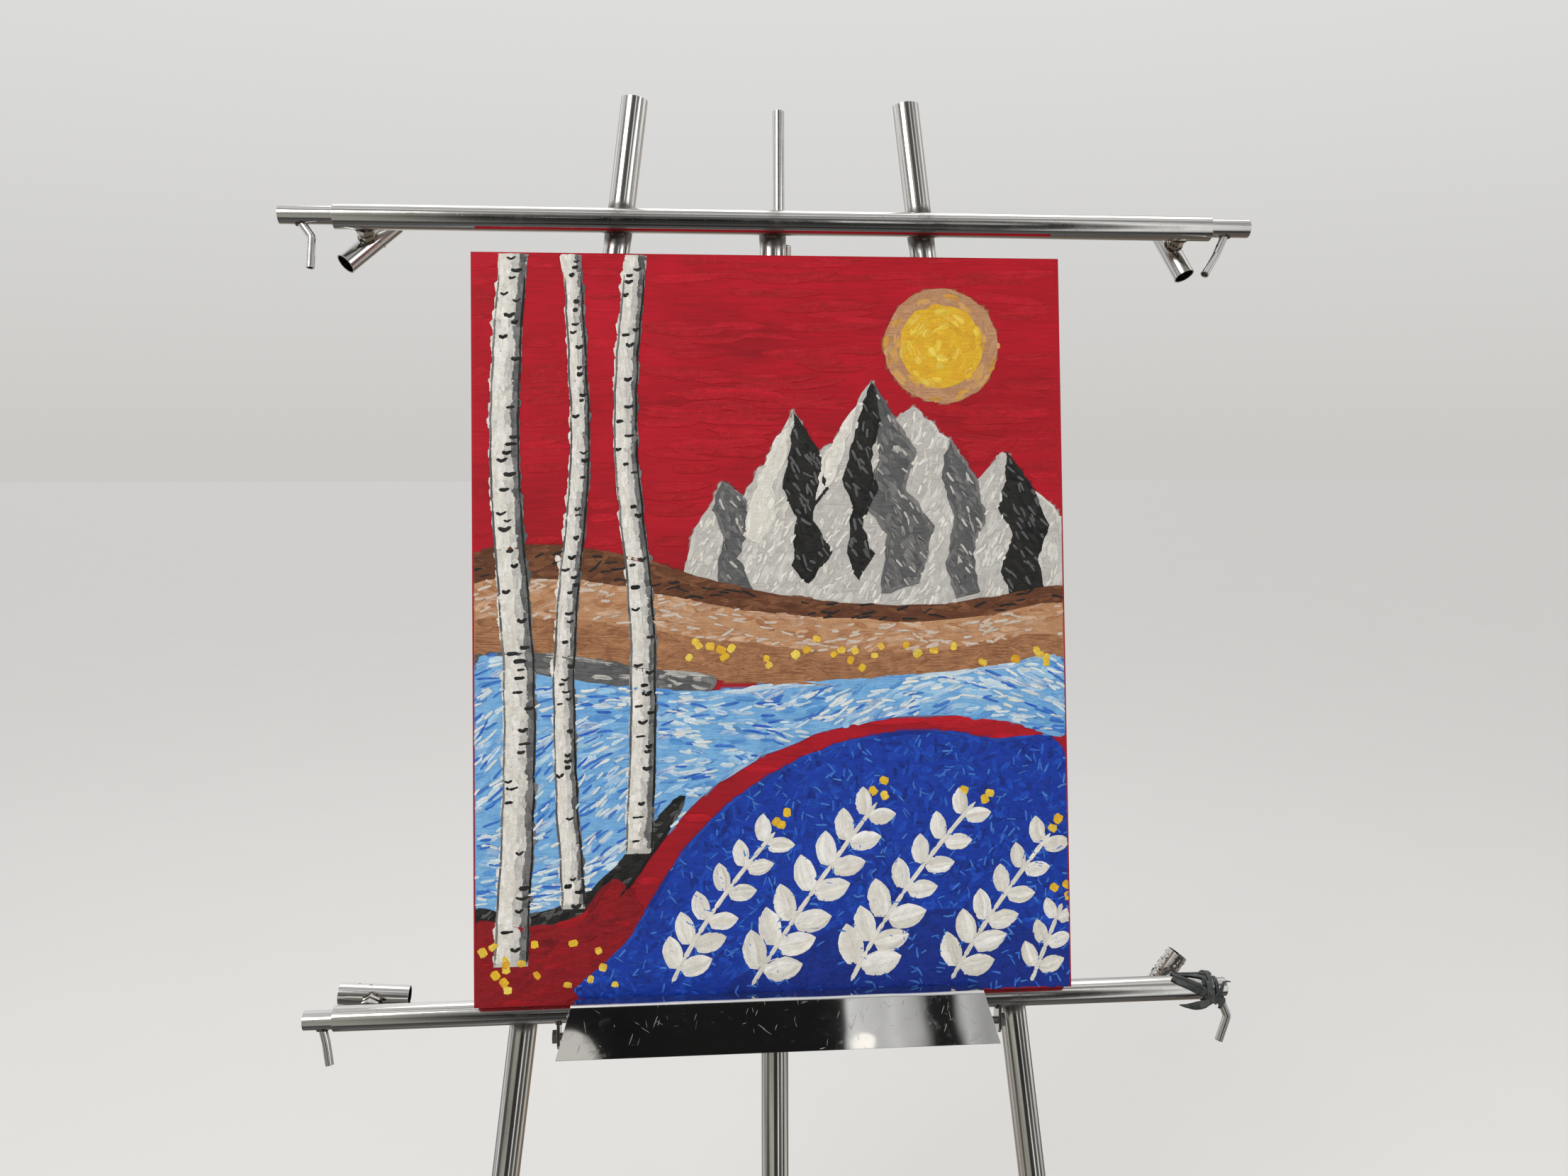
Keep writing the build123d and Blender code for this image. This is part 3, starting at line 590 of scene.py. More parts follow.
def divided(line, count):
    """Points at even distances along a line, and its length."""
    run = np.r_[0, np.cumsum(np.linalg.norm(np.diff(line, axis=0), axis=1))]
    steps = np.linspace(0, run[-1], count)
    return np.stack([np.interp(steps, run, values) for values in line.T], 1), run[-1]


def soft_noise(x, y, cell, seed):
    """Smooth noise from 0 to 1 with hills about cell millimetres apart."""
    table = np.random.default_rng(seed).random((64, 64))
    u, v = np.asarray(x) / cell + 200.0, np.asarray(y) / cell + 200.0
    i, j = np.floor(u).astype(int), np.floor(v).astype(int)
    a, b = (w * w * (3 - 2 * w) for w in (u - i, v - j))
    low, high = (table[i % 64, (j + q) % 64] * (1 - a) + table[(i + 1) % 64, (j + q) % 64] * a for q in (0, 1))
    return low * (1 - b) + high * b


def broken_outline(points):
    """Straight edges from point to point, each split and pushed a little to and fro."""
    rng = np.random.default_rng(len(points))
    out = []
    for p, q in zip(points, np.roll(points, -1, 0)):
        length = np.hypot(*(q - p))
        count = max(2, int(length / 7))
        for t in np.arange(count) / count:
            push = rng.normal(0, 1.1) * (t > 0)
            out.append(p + (q - p) * t + np.array([p[1] - q[1], q[0] - p[0]]) / length * push)
    return np.array(out)


def smooth_outline(points, closed=True, parts=6):
    """A curve through the points, with a slight hand-drawn wobble."""
    points = np.asarray(points, float)
    if closed:
        out = np.array(curve(np.r_[points[-1:], points, points[:2]], parts))
    else:
        out = np.array(curve(np.r_[points[:1], points, points[-1:]], parts) + [points[-1]])
    return out + (np.stack([soft_noise(*out.T, 9, seed) for seed in (3, 4)], 1) - 0.5) * 2.4


def outline_points(text):
    if text.startswith("ring"):
        return np.array([np.array(SUN) + float(text.split()[1]) * unit(turn) for turn in turns(18)])
    return np.array([[float(v) for v in pair.split(",")] for pair in text.split()])


def inside(polygon, x, y):
    hit = np.zeros(x.shape, bool)
    for (x0, y0), (x1, y1) in zip(polygon, np.roll(polygon, -1, 0)):
        if y0 != y1:
            hit ^= ((y0 > y) != (y1 > y)) & (x < (x1 - x0) * (y - y0) / (y1 - y0) + x0)
    return hit


# Which shape is on top at each place of the canvas: 0 is the bare ground, the last is bark
xs = np.arange(-HALF_WIDE + MAP_STEP / 2, HALF_WIDE, MAP_STEP)
ys = np.arange(MAP_STEP / 2, TALL, MAP_STEP)
region = np.zeros((len(ys), len(xs)), int)
outlines = {}
for index, (name, *_, text) in enumerate(SHAPES, 1):
    drawn = broken_outline if "peak" in name or "snow" in name else smooth_outline
    outlines[name] = drawn(outline_points(text))
    region[inside(outlines[name], *np.meshgrid(xs, ys))] = index
trunks = []
for *places, low_half, high_half in TRUNKS:
    line = smooth_outline(places, closed=False, parts=16)
    trunks.append((places[0][1], line, low_half + (high_half - low_half) * np.linspace(0, 1, len(line))))
    centre = np.interp(ys, line[:, 1], line[:, 0])
    half_width = np.interp(ys, line[[0, -1], 1], [low_half, high_half])
    bark = (np.abs(xs - centre[:, None]) < half_width[:, None] - 2) & (ys > line[0, 1])[:, None]
    region[bark] = len(SHAPES) + 1


def region_at(x, y):
    i = np.clip(((x + HALF_WIDE) / MAP_STEP).astype(int), 0, region.shape[1] - 1)
    j = np.clip((y / MAP_STEP).astype(int), 0, region.shape[0] - 1)
    return region[j, i]


def undercoat(x, y):
    """Colour and cover of the paint under the brush marks."""
    table = [(0, 0, 0, 0)] + [(*shape[1][0], 1) for shape in SHAPES] + [(*PALE[0], 1)]
    return np.array(table, np.float32)[region_at(x, y)]


def finish_paint(name, points, faces, paint, streak, uvs, material):
    """Paint as a piece. Near the border it is thinner and falls away over the rounded edge."""
    half, top, edge = HALF_WIDE - PAINT_INSET, TALL - PAINT_INSET, CANVAS_EDGE * 1000
    points[:, :2] = np.clip(points[:, :2], (-half, PAINT_INSET), (half, top))
    x, y, height = points.T
    drop = edge - np.minimum(half - np.abs(x), np.minimum(y, top - y))
    over = drop > 0
    fall = np.where(over, edge - np.sqrt(np.clip(edge ** 2 - np.clip(drop, 0, 2.4) ** 2, 0, None)), 0)
    points[:, 2] = np.clip(height, 0, 0.95) * np.where(over, 0.5, 1) - fall
    points /= 1000
    points[:, 2] += CANVAS_DEPTH
    piece = add_mesh(name, canvas_to_frame(points), [tuple(f) for f in faces], material, slot="painted_canvas")
    mesh = piece.data
    for key, values in (("paint", paint), ("paint_streak", streak)):
        add_layer(mesh, key, "FLOAT_COLOR", np.c_[np.clip(values, 0, 1), np.ones(len(values))])
    layer = mesh.uv_layers.new(name="stroke")
    corners = np.empty(len(mesh.loops), np.int32)
    mesh.loops.foreach_get("vertex_index", corners)
    layer.data.foreach_set("uv", uvs[corners].astype(np.float32).ravel())
    return piece


class Picture:
    """Collects brush marks: each has a path, a width and two colours, and lies on those before it."""

    def __init__(self):
        self.marks = []

    def add(self, path, width, lift, pair, ridge, tail=0.35):
        self.marks.append((np.asarray(path, float), width, lift, np.asarray(pair), ridge, tail))

    def build(self, name, along, across, material, rng):
        """The marks as strips of quads, each mark along by across points."""
        parts = []
        lanes, t = np.linspace(-1, 1, across), np.linspace(0, 1, along)
        quads = np.array(grid(along, across))
        start = np.clip(t / 0.10, 0, 1)
        blunt, blunt_end = np.sqrt(start * (2 - start)), np.sqrt(np.clip((1 - t) / 0.08, 0.05, 1))
        thinning = np.clip((t - 0.55) / 0.45, 0, 1) ** 2
        fade = (0.25 * t)[:, None, None]
        for number, (path, width, lift, (first, second), ridge, tail) in enumerate(self.marks):
            centre, length = divided(path, along)
            half = width / 2 * blunt * (1 - tail * thinning) * blunt_end
            reach = half[:, None] * (1 + rng.normal(0, 0.05, (along, 1))) * lanes
            flat = centre[:, None] + leftward(np.gradient(centre, axis=0))[:, None] * reach[:, :, None]
            height = lift + ridge * (rng.random(across) - 0.2) + ridge * 0.4 * rng.random((along, across))
            height[:, [0, -1]] -= ridge * 1.1
            height[-1] += ridge * 0.8
            height[0] -= ridge
            tone = rng.normal(1, 0.07, (1, across, 1)) * rng.normal(1, 0.03, (along, across, 1))
            tone = np.clip(tone, 0.7, 1.3)
            colour = (first * (1 - fade) + second * fade) * tone
            uv = np.broadcast_arrays((t * length / 1000 + number * 0.37)[:, None],
                                     lanes * width / 2000 + (number * 0.61) % 7)
            parts.append((np.dstack([flat, height]).reshape(-1, 3), quads + number * along * across,
                          colour.reshape(-1, 3), (second * tone).reshape(-1, 3), np.dstack(uv).reshape(-1, 2)))
        return finish_paint(name, *(np.concatenate(part) for part in zip(*parts)), material)


def build_patches(patches, material):
    """Each colour shape as a thin coat of paint with a soft raised rim."""
    parts, paint, streak, uvs = [], [], [], []
    for outline, colours, lift in patches:
        outline = np.clip(outline, (-302.0, 3.0), (302.0, 759.0))
        n = len(outline)
        after, before = np.roll(outline, -1, 0), np.roll(outline, 1, 0)
        way = 1 if np.sum(outline[:, 0] * after[:, 1] - after[:, 0] * outline[:, 1]) > 0 else -1
        crest = outline + leftward(after - before) * way * 0.25
        faces = grid(2, n, around=True) + [tuple(range(n, 2 * n))]
        parts.append((np.r_[np.c_[outline, np.full(n, lift - 0.06)], np.c_[crest, np.full(n, lift)]],
                      [face[::way] for face in faces]))
        paint.append(np.tile(colours[0], (2 * n, 1)))
        streak.append(np.tile(colours[1], (2 * n, 1)))
        uvs.append(np.tile(outline / 1000, (2, 1)))
    vertices, faces = join(parts)
    return finish_paint("colour_shapes", np.array(vertices), faces,
                        *(np.concatenate(part) for part in (paint, streak, uvs)), material)


def pick(colours, tone, rng):
    """Two neighbouring colours of a list, chosen by a tone from 0 to 1 and some chance."""
    k = int(np.clip(tone + rng.normal(0, 0.16), 0, 0.999) * len(colours))
    return colours[k], colours[(k + rng.integers(1, len(colours))) % len(colours)]


def stroke_angles(kind, x, y, rng):
    """Degrees of the strokes at these places."""
    if kind is None:
        return rng.uniform(0, 360, len(x))
    if kind == "sun":
        return np.degrees(np.arctan2(y - SUN[1], x - SUN[0])) + 90 + rng.normal(0, 12, len(x))
    if kind == "water":
        return 22 * np.sin(x / 70 + y / 46) + 20 * (x < -40) + rng.normal(0, 10, len(x))
    if kind == "ground":
        return 1 + rng.normal(0, 2.5, len(x))
    return kind + rng.normal(0, 14, len(x)) + 16 * (soft_noise(x, y, 50, 8) - 0.5)


def fill(picture, rng, index, colours, heading, length, width, lift, cover, ridge):
    """Strokes all over a region. A stroke ends where it would leave the region."""
    cells = np.argwhere(region == index)
    count = int(len(cells) * MAP_STEP ** 2 * cover / (length * width))
    chosen = cells[rng.integers(0, len(cells), count)]
    x = xs[chosen[:, 1]] + rng.uniform(-1, 1, count)
    y = ys[chosen[:, 0]] + rng.uniform(-1, 1, count)
    turn = np.radians(stroke_angles(heading, x, y, rng))
    bend = rng.normal(0, 0.26 / length, count)
    steps, middle = 15, 7
    for k in range(count):
        reach = length * rng.uniform(0.6, 1.35)
        angle = turn[k] + bend[k] * np.linspace(-reach / 2, reach / 2, steps)
        way = np.stack([np.cos(angle), np.sin(angle)], 1)
        path = (x[k], y[k]) + np.cumsum(way, 0) * reach / steps - way.sum(0) * reach / (2 * steps)
        own = region_at(*path.T) == index
        low = high = middle
        while low > 0 and own[low - 1]:
            low -= 1
        while high < steps - 1 and own[high + 1]:
            high += 1
        if own[middle] and high - low >= 4:
            pair = pick(colours, soft_noise(x[k], y[k], 55, 30 + index), rng)
            picture.add(path[low:high + 1], width * rng.uniform(0.75, 1.25), lift + 0.18 * k / count, pair, ridge)


def paint_picture():
    rng = np.random.default_rng(20)
    patches, rough, fine = [], Picture(), Picture()
    # broad thin strokes of the red ground
    fill(rough, rng, 0, CRIMSON, "ground", 90, 8, 0.05, 0.9, 0.03)
    for index, (name, colours, heading, length, width, _) in enumerate(SHAPES, 1):
        outline, lift = outlines[name], 0.06 + 0.012 * index
        patches.append((outline, colours, lift - 0.04))
        fill(rough, rng, index, colours, heading, length, width, lift, 1.0, 0.13)
        if heading == "sun":
            continue
        # the edge of each shape, drawn along it in one or two colours
        for start in range(0, len(outline) - 3, 4):
            piece = np.r_[outline, outline[:1]][start:start + 6]
            toward = outline.mean(0) - piece
            inner = piece + toward / np.hypot(*toward.T)[:, None] * width * 0.42
            pair = pick(colours, soft_noise(*piece[0], 55, 30 + index), rng)
            on_canvas = np.all(np.abs(inner - (0, TALL / 2)) < (HALF_WIDE - 1, TALL / 2 - 1))
            if on_canvas and np.mean(region_at(*inner.T) == index) > 0.6:
                rough.add(inner, width * 0.95, lift + 0.2, pair, 0.14)
    for name, *strokes in DETAILS:
        fill(fine, rng, list(outlines).index(name) + 1, *strokes)

    # birch trunks: pale bark in strokes up the trunk, dark scars and a shaded right side
    for foot, line, half in trunks:
        left, right = (line + np.c_[sign * half, 0 * half] for sign in (-1, 1))
        patches.append((np.r_[left, right[::-1]], PALE, 0.34))
        height = foot + 4.0
        while height < TALL - 2:
            x, h = (np.interp(height, line[:, 1], values) for values in (line[:, 0], half))
            for lane in np.linspace(-0.72, 0.72, 4):
                pair = pick(WHITE if lane < 0.2 else PALE if lane < 0.5 else GREY, rng.random(), rng)
                tilt, reach = rng.normal(0, 2.0), rng.uniform(9, 15)
                fine.add([(x + lane * h, height), (x + lane * h + tilt, height + reach)], h * 0.62,
                         0.40 + 0.1 * rng.random(), pair, 0.14)
            if rng.random() < 0.42:
                start = rng.uniform(-0.95, -0.1) if rng.random() < 0.5 else rng.uniform(-0.2, 0.3)
                reach, dip = rng.uniform(0.5, 0.9), rng.uniform(-3, 1)
                pair = pick(BLACK, rng.random(), rng)
                scar = [(x + start * h, height), (x + (start + reach * 0.5) * h, height + dip),
                        (x + min(start + reach, 0.96) * h, height + 1)]
                fine.add(scar, rng.uniform(2.2, 4.6), 0.62, pair, 0.12)
            height += rng.uniform(6.0, 8.5)
        for edge, shift, colours in ((left, 1.2, GREY), (right, -1.2, BLACK)):
            for start in range(0, len(edge) - 5, 4):
                fine.add(edge[start:start + 6] + (shift, 0), 2.4, 0.56, pick(colours, rng.random(), rng), 0.10)

    # white leaves in pairs along curved stems, with yellow buds at the tips
    for *places, pairs, leaf in SPRIGS:
        a, b, c = np.array(places)
        stem = np.array([(1 - t) ** 2 * a + 2 * t * (1 - t) * b + t * t * c for t in np.linspace(0, 1, 40)])
        for k in range(0, 36, 6):
            fine.add(stem[k:k + 8], 4.6, 0.60, WHITE[:2], 0.2, 0.1)
        for number in range(pairs):
            at = int((number + 0.6) / (pairs + 0.2) * 38)
            heading = math.atan2(*(stem[at + 1] - stem[at])[::-1])
            size = leaf * (1.0 - 0.35 * number / pairs) * rng.uniform(0.9, 1.1)
            for side in (-1, 1):
                axis = unit(heading + side * rng.uniform(0.75, 0.95))
                normal = np.array([-axis[1], axis[0]]) * side * size
                for lane in (-1, 0, 1):
                    path = [stem[at] + axis * (2.5 + size * t)
                            + normal * (lane * 0.1625 * math.sin(math.pi * min(t * 1.05, 1)) - 0.08 * t * t)
                            for t in np.linspace(0.02, 1, 9)]
                    lift = 0.62 + 0.07 * (lane == 0) + 0.03 * rng.random()
                    fine.add(path, size * (0.27 if lane else 0.24), lift,
                             [WHITE[rng.integers(0, 3)] for _ in range(2)], 0.26, 0.75)
        for _ in range(3):
            spot = stem[-1] + rng.normal(0, 7, 2)
            arm = unit(rng.uniform(0, 3.1)) * 5
            fine.add([spot - arm, spot, spot + arm], 8.0, 0.72, [YELLOW[rng.integers(0, 3)], YELLOW[0]],
                     0.26, 0.2)

    # yellow buds strewn on the fields' edge and the meadow
    for _ in range(46):
        if rng.random() < 0.6:
            x = rng.uniform(-96, 296)
            spot = np.array([x, 352 - 0.00016 * x * x + rng.normal(0, 7)])
        else:
            spot = np.array([rng.uniform(-298, -150), rng.uniform(10, 66)])
        arm = unit(rng.uniform(0, 3.1)) * rng.uniform(3, 5.5)
        fine.add([spot - arm, spot, spot + arm], rng.uniform(6, 9), 0.60,
                 [YELLOW[rng.integers(0, 3)] for _ in range(2)], 0.24, 0.2)
    material = paint_material("paint_strokes")
    return [build_patches(patches, paint_material("paint_ground")),
            rough.build("brush_strokes_broad", 6, 5, material, rng),
            fine.build("brush_strokes_fine", 8, 5, material, rng)]


# Rods and strips as rings of points: for weld beads, the rubber strip and staples
def join(parts):
    vertices, faces = [], []
    for part_vertices, part_faces in parts:
        shift = len(vertices)
        vertices += list(part_vertices)
        faces += [tuple(i + shift for i in face) for face in part_faces]
    return vertices, faces


def tube_faces(rings, sides, closed=False):
    faces = grid(rings, sides, around=True, closed=closed)
    if not closed:
        faces += [tuple(range(sides))[::-1], tuple(range((rings - 1) * sides, rings * sides))]
    return faces


def sweep(points, radii, sides=8, closed=False):
    n, side, vertices = len(points), None, []
    for k, point in enumerate(points):
        ahead = points[(k + 1) % n] if closed or k < n - 1 else point
        behind = points[k - 1] if closed or k > 0 else point
        along = (ahead - behind).normalized()
        if side is None:
            side = along.orthogonal()
        side = (side - along * side.dot(along)).normalized()
        other = along.cross(side)
        vertices += [point + side * (radii[k] * math.cos(turn)) + other * (radii[k] * math.sin(turn))
                     for turn in turns(sides)]
    return vertices, tube_faces(n, sides, closed)


def bead(points, radius, rng, closed=False):
    """A weld bead: a row of overlapping ripples."""
    radii = [radius * (0.80 + 0.30 * abs(math.sin(k * 1.05)) + rng.normal(0, 0.05)) for k in range(len(points))]
    return sweep([p + Vector(rng.normal(0, radius * 0.07, 3)) for p in points], radii, closed=closed)


# Where the round bar lies in the saddle of an upright
OVERLAP_HALF = math.acos((BAR_FORWARD - BAR_R) / UPRIGHT_R)
FILLET_STEPS = 120
FILLET_DEPTH = 7


def crossing_fillet(upright, row, rng):
    """Weld metal all round the saddle, hollow between the upright and the bar."""
    x, gain = upright_x(upright, BAR_S[row]), UPRIGHTS[upright][1]
    on_upright, on_bar = [], []
    for k in range(FILLET_STEPS):
        turn = 2 * math.pi * (k + 0.5) / FILLET_STEPS
        bend = OVERLAP_HALF * math.sin(turn)
        s = math.copysign(math.sqrt(max(0, BAR_R ** 2 - (BAR_FORWARD - UPRIGHT_R * math.cos(bend)) ** 2)),
                          math.cos(turn))
        on_upright.append((UPRIGHT_R * bend, s))
        on_bar.append((UPRIGHT_R * math.sin(bend), BAR_R * math.asin(s / BAR_R)))

    def grown(loop, reach):
        loop = np.array(loop)
        out = leftward(np.roll(loop, -1, 0) - np.roll(loop, 1, 0))
        return loop + out * np.sign(np.sum(out * loop)) * reach[:, None]

    def at_upright(u, s):
        return Vector((UPRIGHT_R * math.sin(u / UPRIGHT_R), s, UPRIGHT_R * math.cos(u / UPRIGHT_R)))

    ripple = np.abs(np.sin(np.arange(FILLET_STEPS) * 0.62)) * 0.0006 + rng.normal(0, 0.00012, FILLET_STEPS)
    vertices = []
    for foot, root, (w, v), wave in zip(grown(on_upright, 0.0044 + ripple), on_upright,
                                        grown(on_bar, 0.0040 + ripple), ripple):
        a = at_upright(*foot)
        b = Vector((w, BAR_R * math.sin(v / BAR_R), BAR_FORWARD - BAR_R * math.cos(v / BAR_R)))
        c = at_upright(*root).lerp((a + b) / 2, 0.22 + wave * 160)
        for t in np.linspace(0, 1, FILLET_DEPTH):
            p = a * (1 - t) ** 2 + c * 2 * t * (1 - t) + b * t * t
            vertices.append(front_point(x + p.x + gain * p.y, BAR_S[row] + p.y, p.z))
    return vertices, grid(FILLET_STEPS, FILLET_DEPTH, closed=True)


# Lock screws: bar, side, distance from the bar's end, tilt in degrees
SCREWS = {"top_left": ("top", -1, 0.027, -28.0), "top_right": ("top", 1, 0.029, -19.5),
          "bottom_left": ("bottom", -1, 0.031, 16.5), "bottom_right": ("bottom", 1, 0.035, 6.5)}
NUT_R = 0.0098
NECK_R = 0.0088
HANDLE_REACH = 0.038
HANDLE_R = 0.0111
# Arms: how far each sticks out, how far its hook stands from its end, its body
ARM_ENDS = {"top_left": (0.0535, 0.0214, "arm_top_left"), "top_right": (0.042, 0.0256, "arm_top_right"),
            "bottom_left": (0.0293, 0.0179, "arm_bottom_left"), "bottom_right": (0.0158, 0.0067, "frame")}
HOOK_R = 0.0042
# Drops of weld metal on the handles: number, reach along it, the handle's turn, their size
SPATTER = {"bottom_right": (190, 0.021, 55, 1.5), "top_right": (14, 0.016, 109, 1.0),
           "bottom_left": (16, 0.016, -5, 1.0), "top_left": (10, 0.014, 52, 1.0)}
SIDEWAYS = Vector((1, 0, 0))


def screw_frame(place):
    row, side, inset, tilt = SCREWS[place]
    tilt = math.radians(tilt)
    start = front_point(BAR_CENTRE_X[row] + side * (BAR_LENGTH / 2 - inset), BAR_S[row], BAR_FORWARD)
    return (start, front_direction(0, math.sin(tilt), -math.cos(tilt)),
            front_direction(0, math.cos(tilt), math.sin(tilt)))


def ring_on_tube(centre, direction, across, radius, tube_radius, count=40):
    """A circle about direction, dropped onto a tube along X through centre."""
    places = [(radius * math.cos(turn), radius * math.sin(turn)) for turn in turns(count)]
    return [centre + Vector((a, 0, 0)) + across * b + direction * math.sqrt(tube_radius ** 2 - b ** 2)
            for a, b in places]


def build_welds():
    rng = np.random.default_rng(5)
    beads = [crossing_fillet(upright, row, rng) for upright in UPRIGHTS for row in BAR_S]
    for place in SCREWS:
        start, direction, across = screw_frame(place)
        beads.append(bead(ring_on_tube(start, direction, across, NUT_R, BAR_R + 0.0004), 0.0014, rng, True))
        centre = start + direction * (HANDLE_REACH - HANDLE_R - 0.0004)
        collar = [centre + SIDEWAYS * NECK_R * math.cos(t) + across * NECK_R * math.sin(t)
                  + direction * (0.0016 * abs(math.sin(t))) for t in turns(40)]
        beads.append(bead(collar, 0.0017, rng, True))
    # along both sides of the ledge's brackets and of the hinge
    for x in (bracket + side * 0.0019 for bracket in BRACKET_X for side in (-1, 1)):
        run = [front_point(x, LOW_BAR_S - BAR_R * math.cos(t) - 0.0006, BAR_FORWARD + BAR_R * math.sin(t))
               for t in np.linspace(-0.9, 0.9, 20)]
        beads.append(bead(run, 0.0013, rng))
    for x in (HINGE_X - 0.0026, HINGE_X + 0.0026):
        depth = math.sqrt(UPRIGHT_R ** 2 - (x - upright_x("mast", HINGE_S)) ** 2)
        run = [front_point(x, HINGE_S - 0.004 + s, -depth - 0.0003) for s in np.linspace(-0.026, 0.026, 30)]
        beads.append(bead(run, 0.0015, rng))
    add_mesh("weld_beads", *join(beads), WELD, slot="tube_steel")
    for place, (out, hook_in, body) in ARM_ENDS.items():
        row, side = SCREWS[place][:2]
        direction = screw_frame(place)[1]
        x = BAR_CENTRE_X[row] + side * (BAR_LENGTH / 2 + out - hook_in)
        axis = front_point(x, BAR_S[row], BAR_FORWARD) - direction * ARM_SHIFT
        root = ring_on_tube(axis, front_direction(0, -1, 0), front_direction(0, 0, 1), HOOK_R + 0.0006,
                            ARM_R + 0.0003, 30)
        add_mesh("hook_weld_" + place, *bead(root, 0.0013, rng, True), WELD, body=body, slot="tube_steel")


def ball(middle, size, rng):
    mesh = bmesh.new()
    bmesh.ops.create_icosphere(mesh, subdivisions=1, radius=size)
    stretch = rng.uniform(0.7, 1.2, 3)
    vertices = [middle + Vector([c * s for c, s in zip(v.co, stretch)]) for v in mesh.verts]
    faces = [tuple(v.index for v in face.verts) for face in mesh.faces]
    mesh.free()
    return vertices, faces


def build_spatter():
    rng = np.random.default_rng(17)
    drops = []
    for place, (count, reach, turn, scale) in SPATTER.items():
        start, direction, across = screw_frame(place)
        along = SIDEWAYS * math.cos(math.radians(turn)) + across * math.sin(math.radians(turn))
        side = along.cross(direction).normalized()
        for _ in range(count):
            t = float(np.clip(rng.normal(0, reach * 0.6), -reach, reach))
            angle = rng.uniform(0, 2 * math.pi)
            size = rng.uniform(0.0004, 0.0012) * scale
            out = side * math.cos(angle) + direction * math.sin(angle)
            middle = start + direction * HANDLE_REACH + along * t + out * (HANDLE_R - size * 0.25)
            drops.append(ball(middle, size, rng))
    add_mesh("weld_spatter", *join(drops), WELD, slot="tube_steel")


STRIP_THICK = 0.0013
STRIP_SIDES = 8


def strip_mesh(points, normals, width):
    """A flat strip with rounded edges along points, its flat side facing normals."""
    n, vertices = len(points), []
    for k, half in enumerate(np.broadcast_to(width, n) / 2):
        along = (points[min(k + 1, n - 1)] - points[max(k - 1, 0)]).normalized()
        out = (normals[k] - along * normals[k].dot(along)).normalized()
        side = along.cross(out)
        for c, s in map(unit, turns(STRIP_SIDES)):
            # squarer than an ellipse: a cut strip of rubber
            c, s = math.copysign(abs(c) ** 0.6, c), math.copysign(abs(s) ** 0.7, s)
            vertices.append(points[k] + side * (c * half) + out * (s * STRIP_THICK / 2))
    return vertices, tube_faces(n, STRIP_SIDES)


def smooth_line(controls, count):
    """A curve through the control points, evenly divided."""
    controls = np.array(controls, float)
    ends = np.r_[[2 * controls[0] - controls[1]], controls, [2 * controls[-1] - controls[-2]]]
    return divided(np.array(curve(ends, 24) + [controls[-1]]), count)[0]


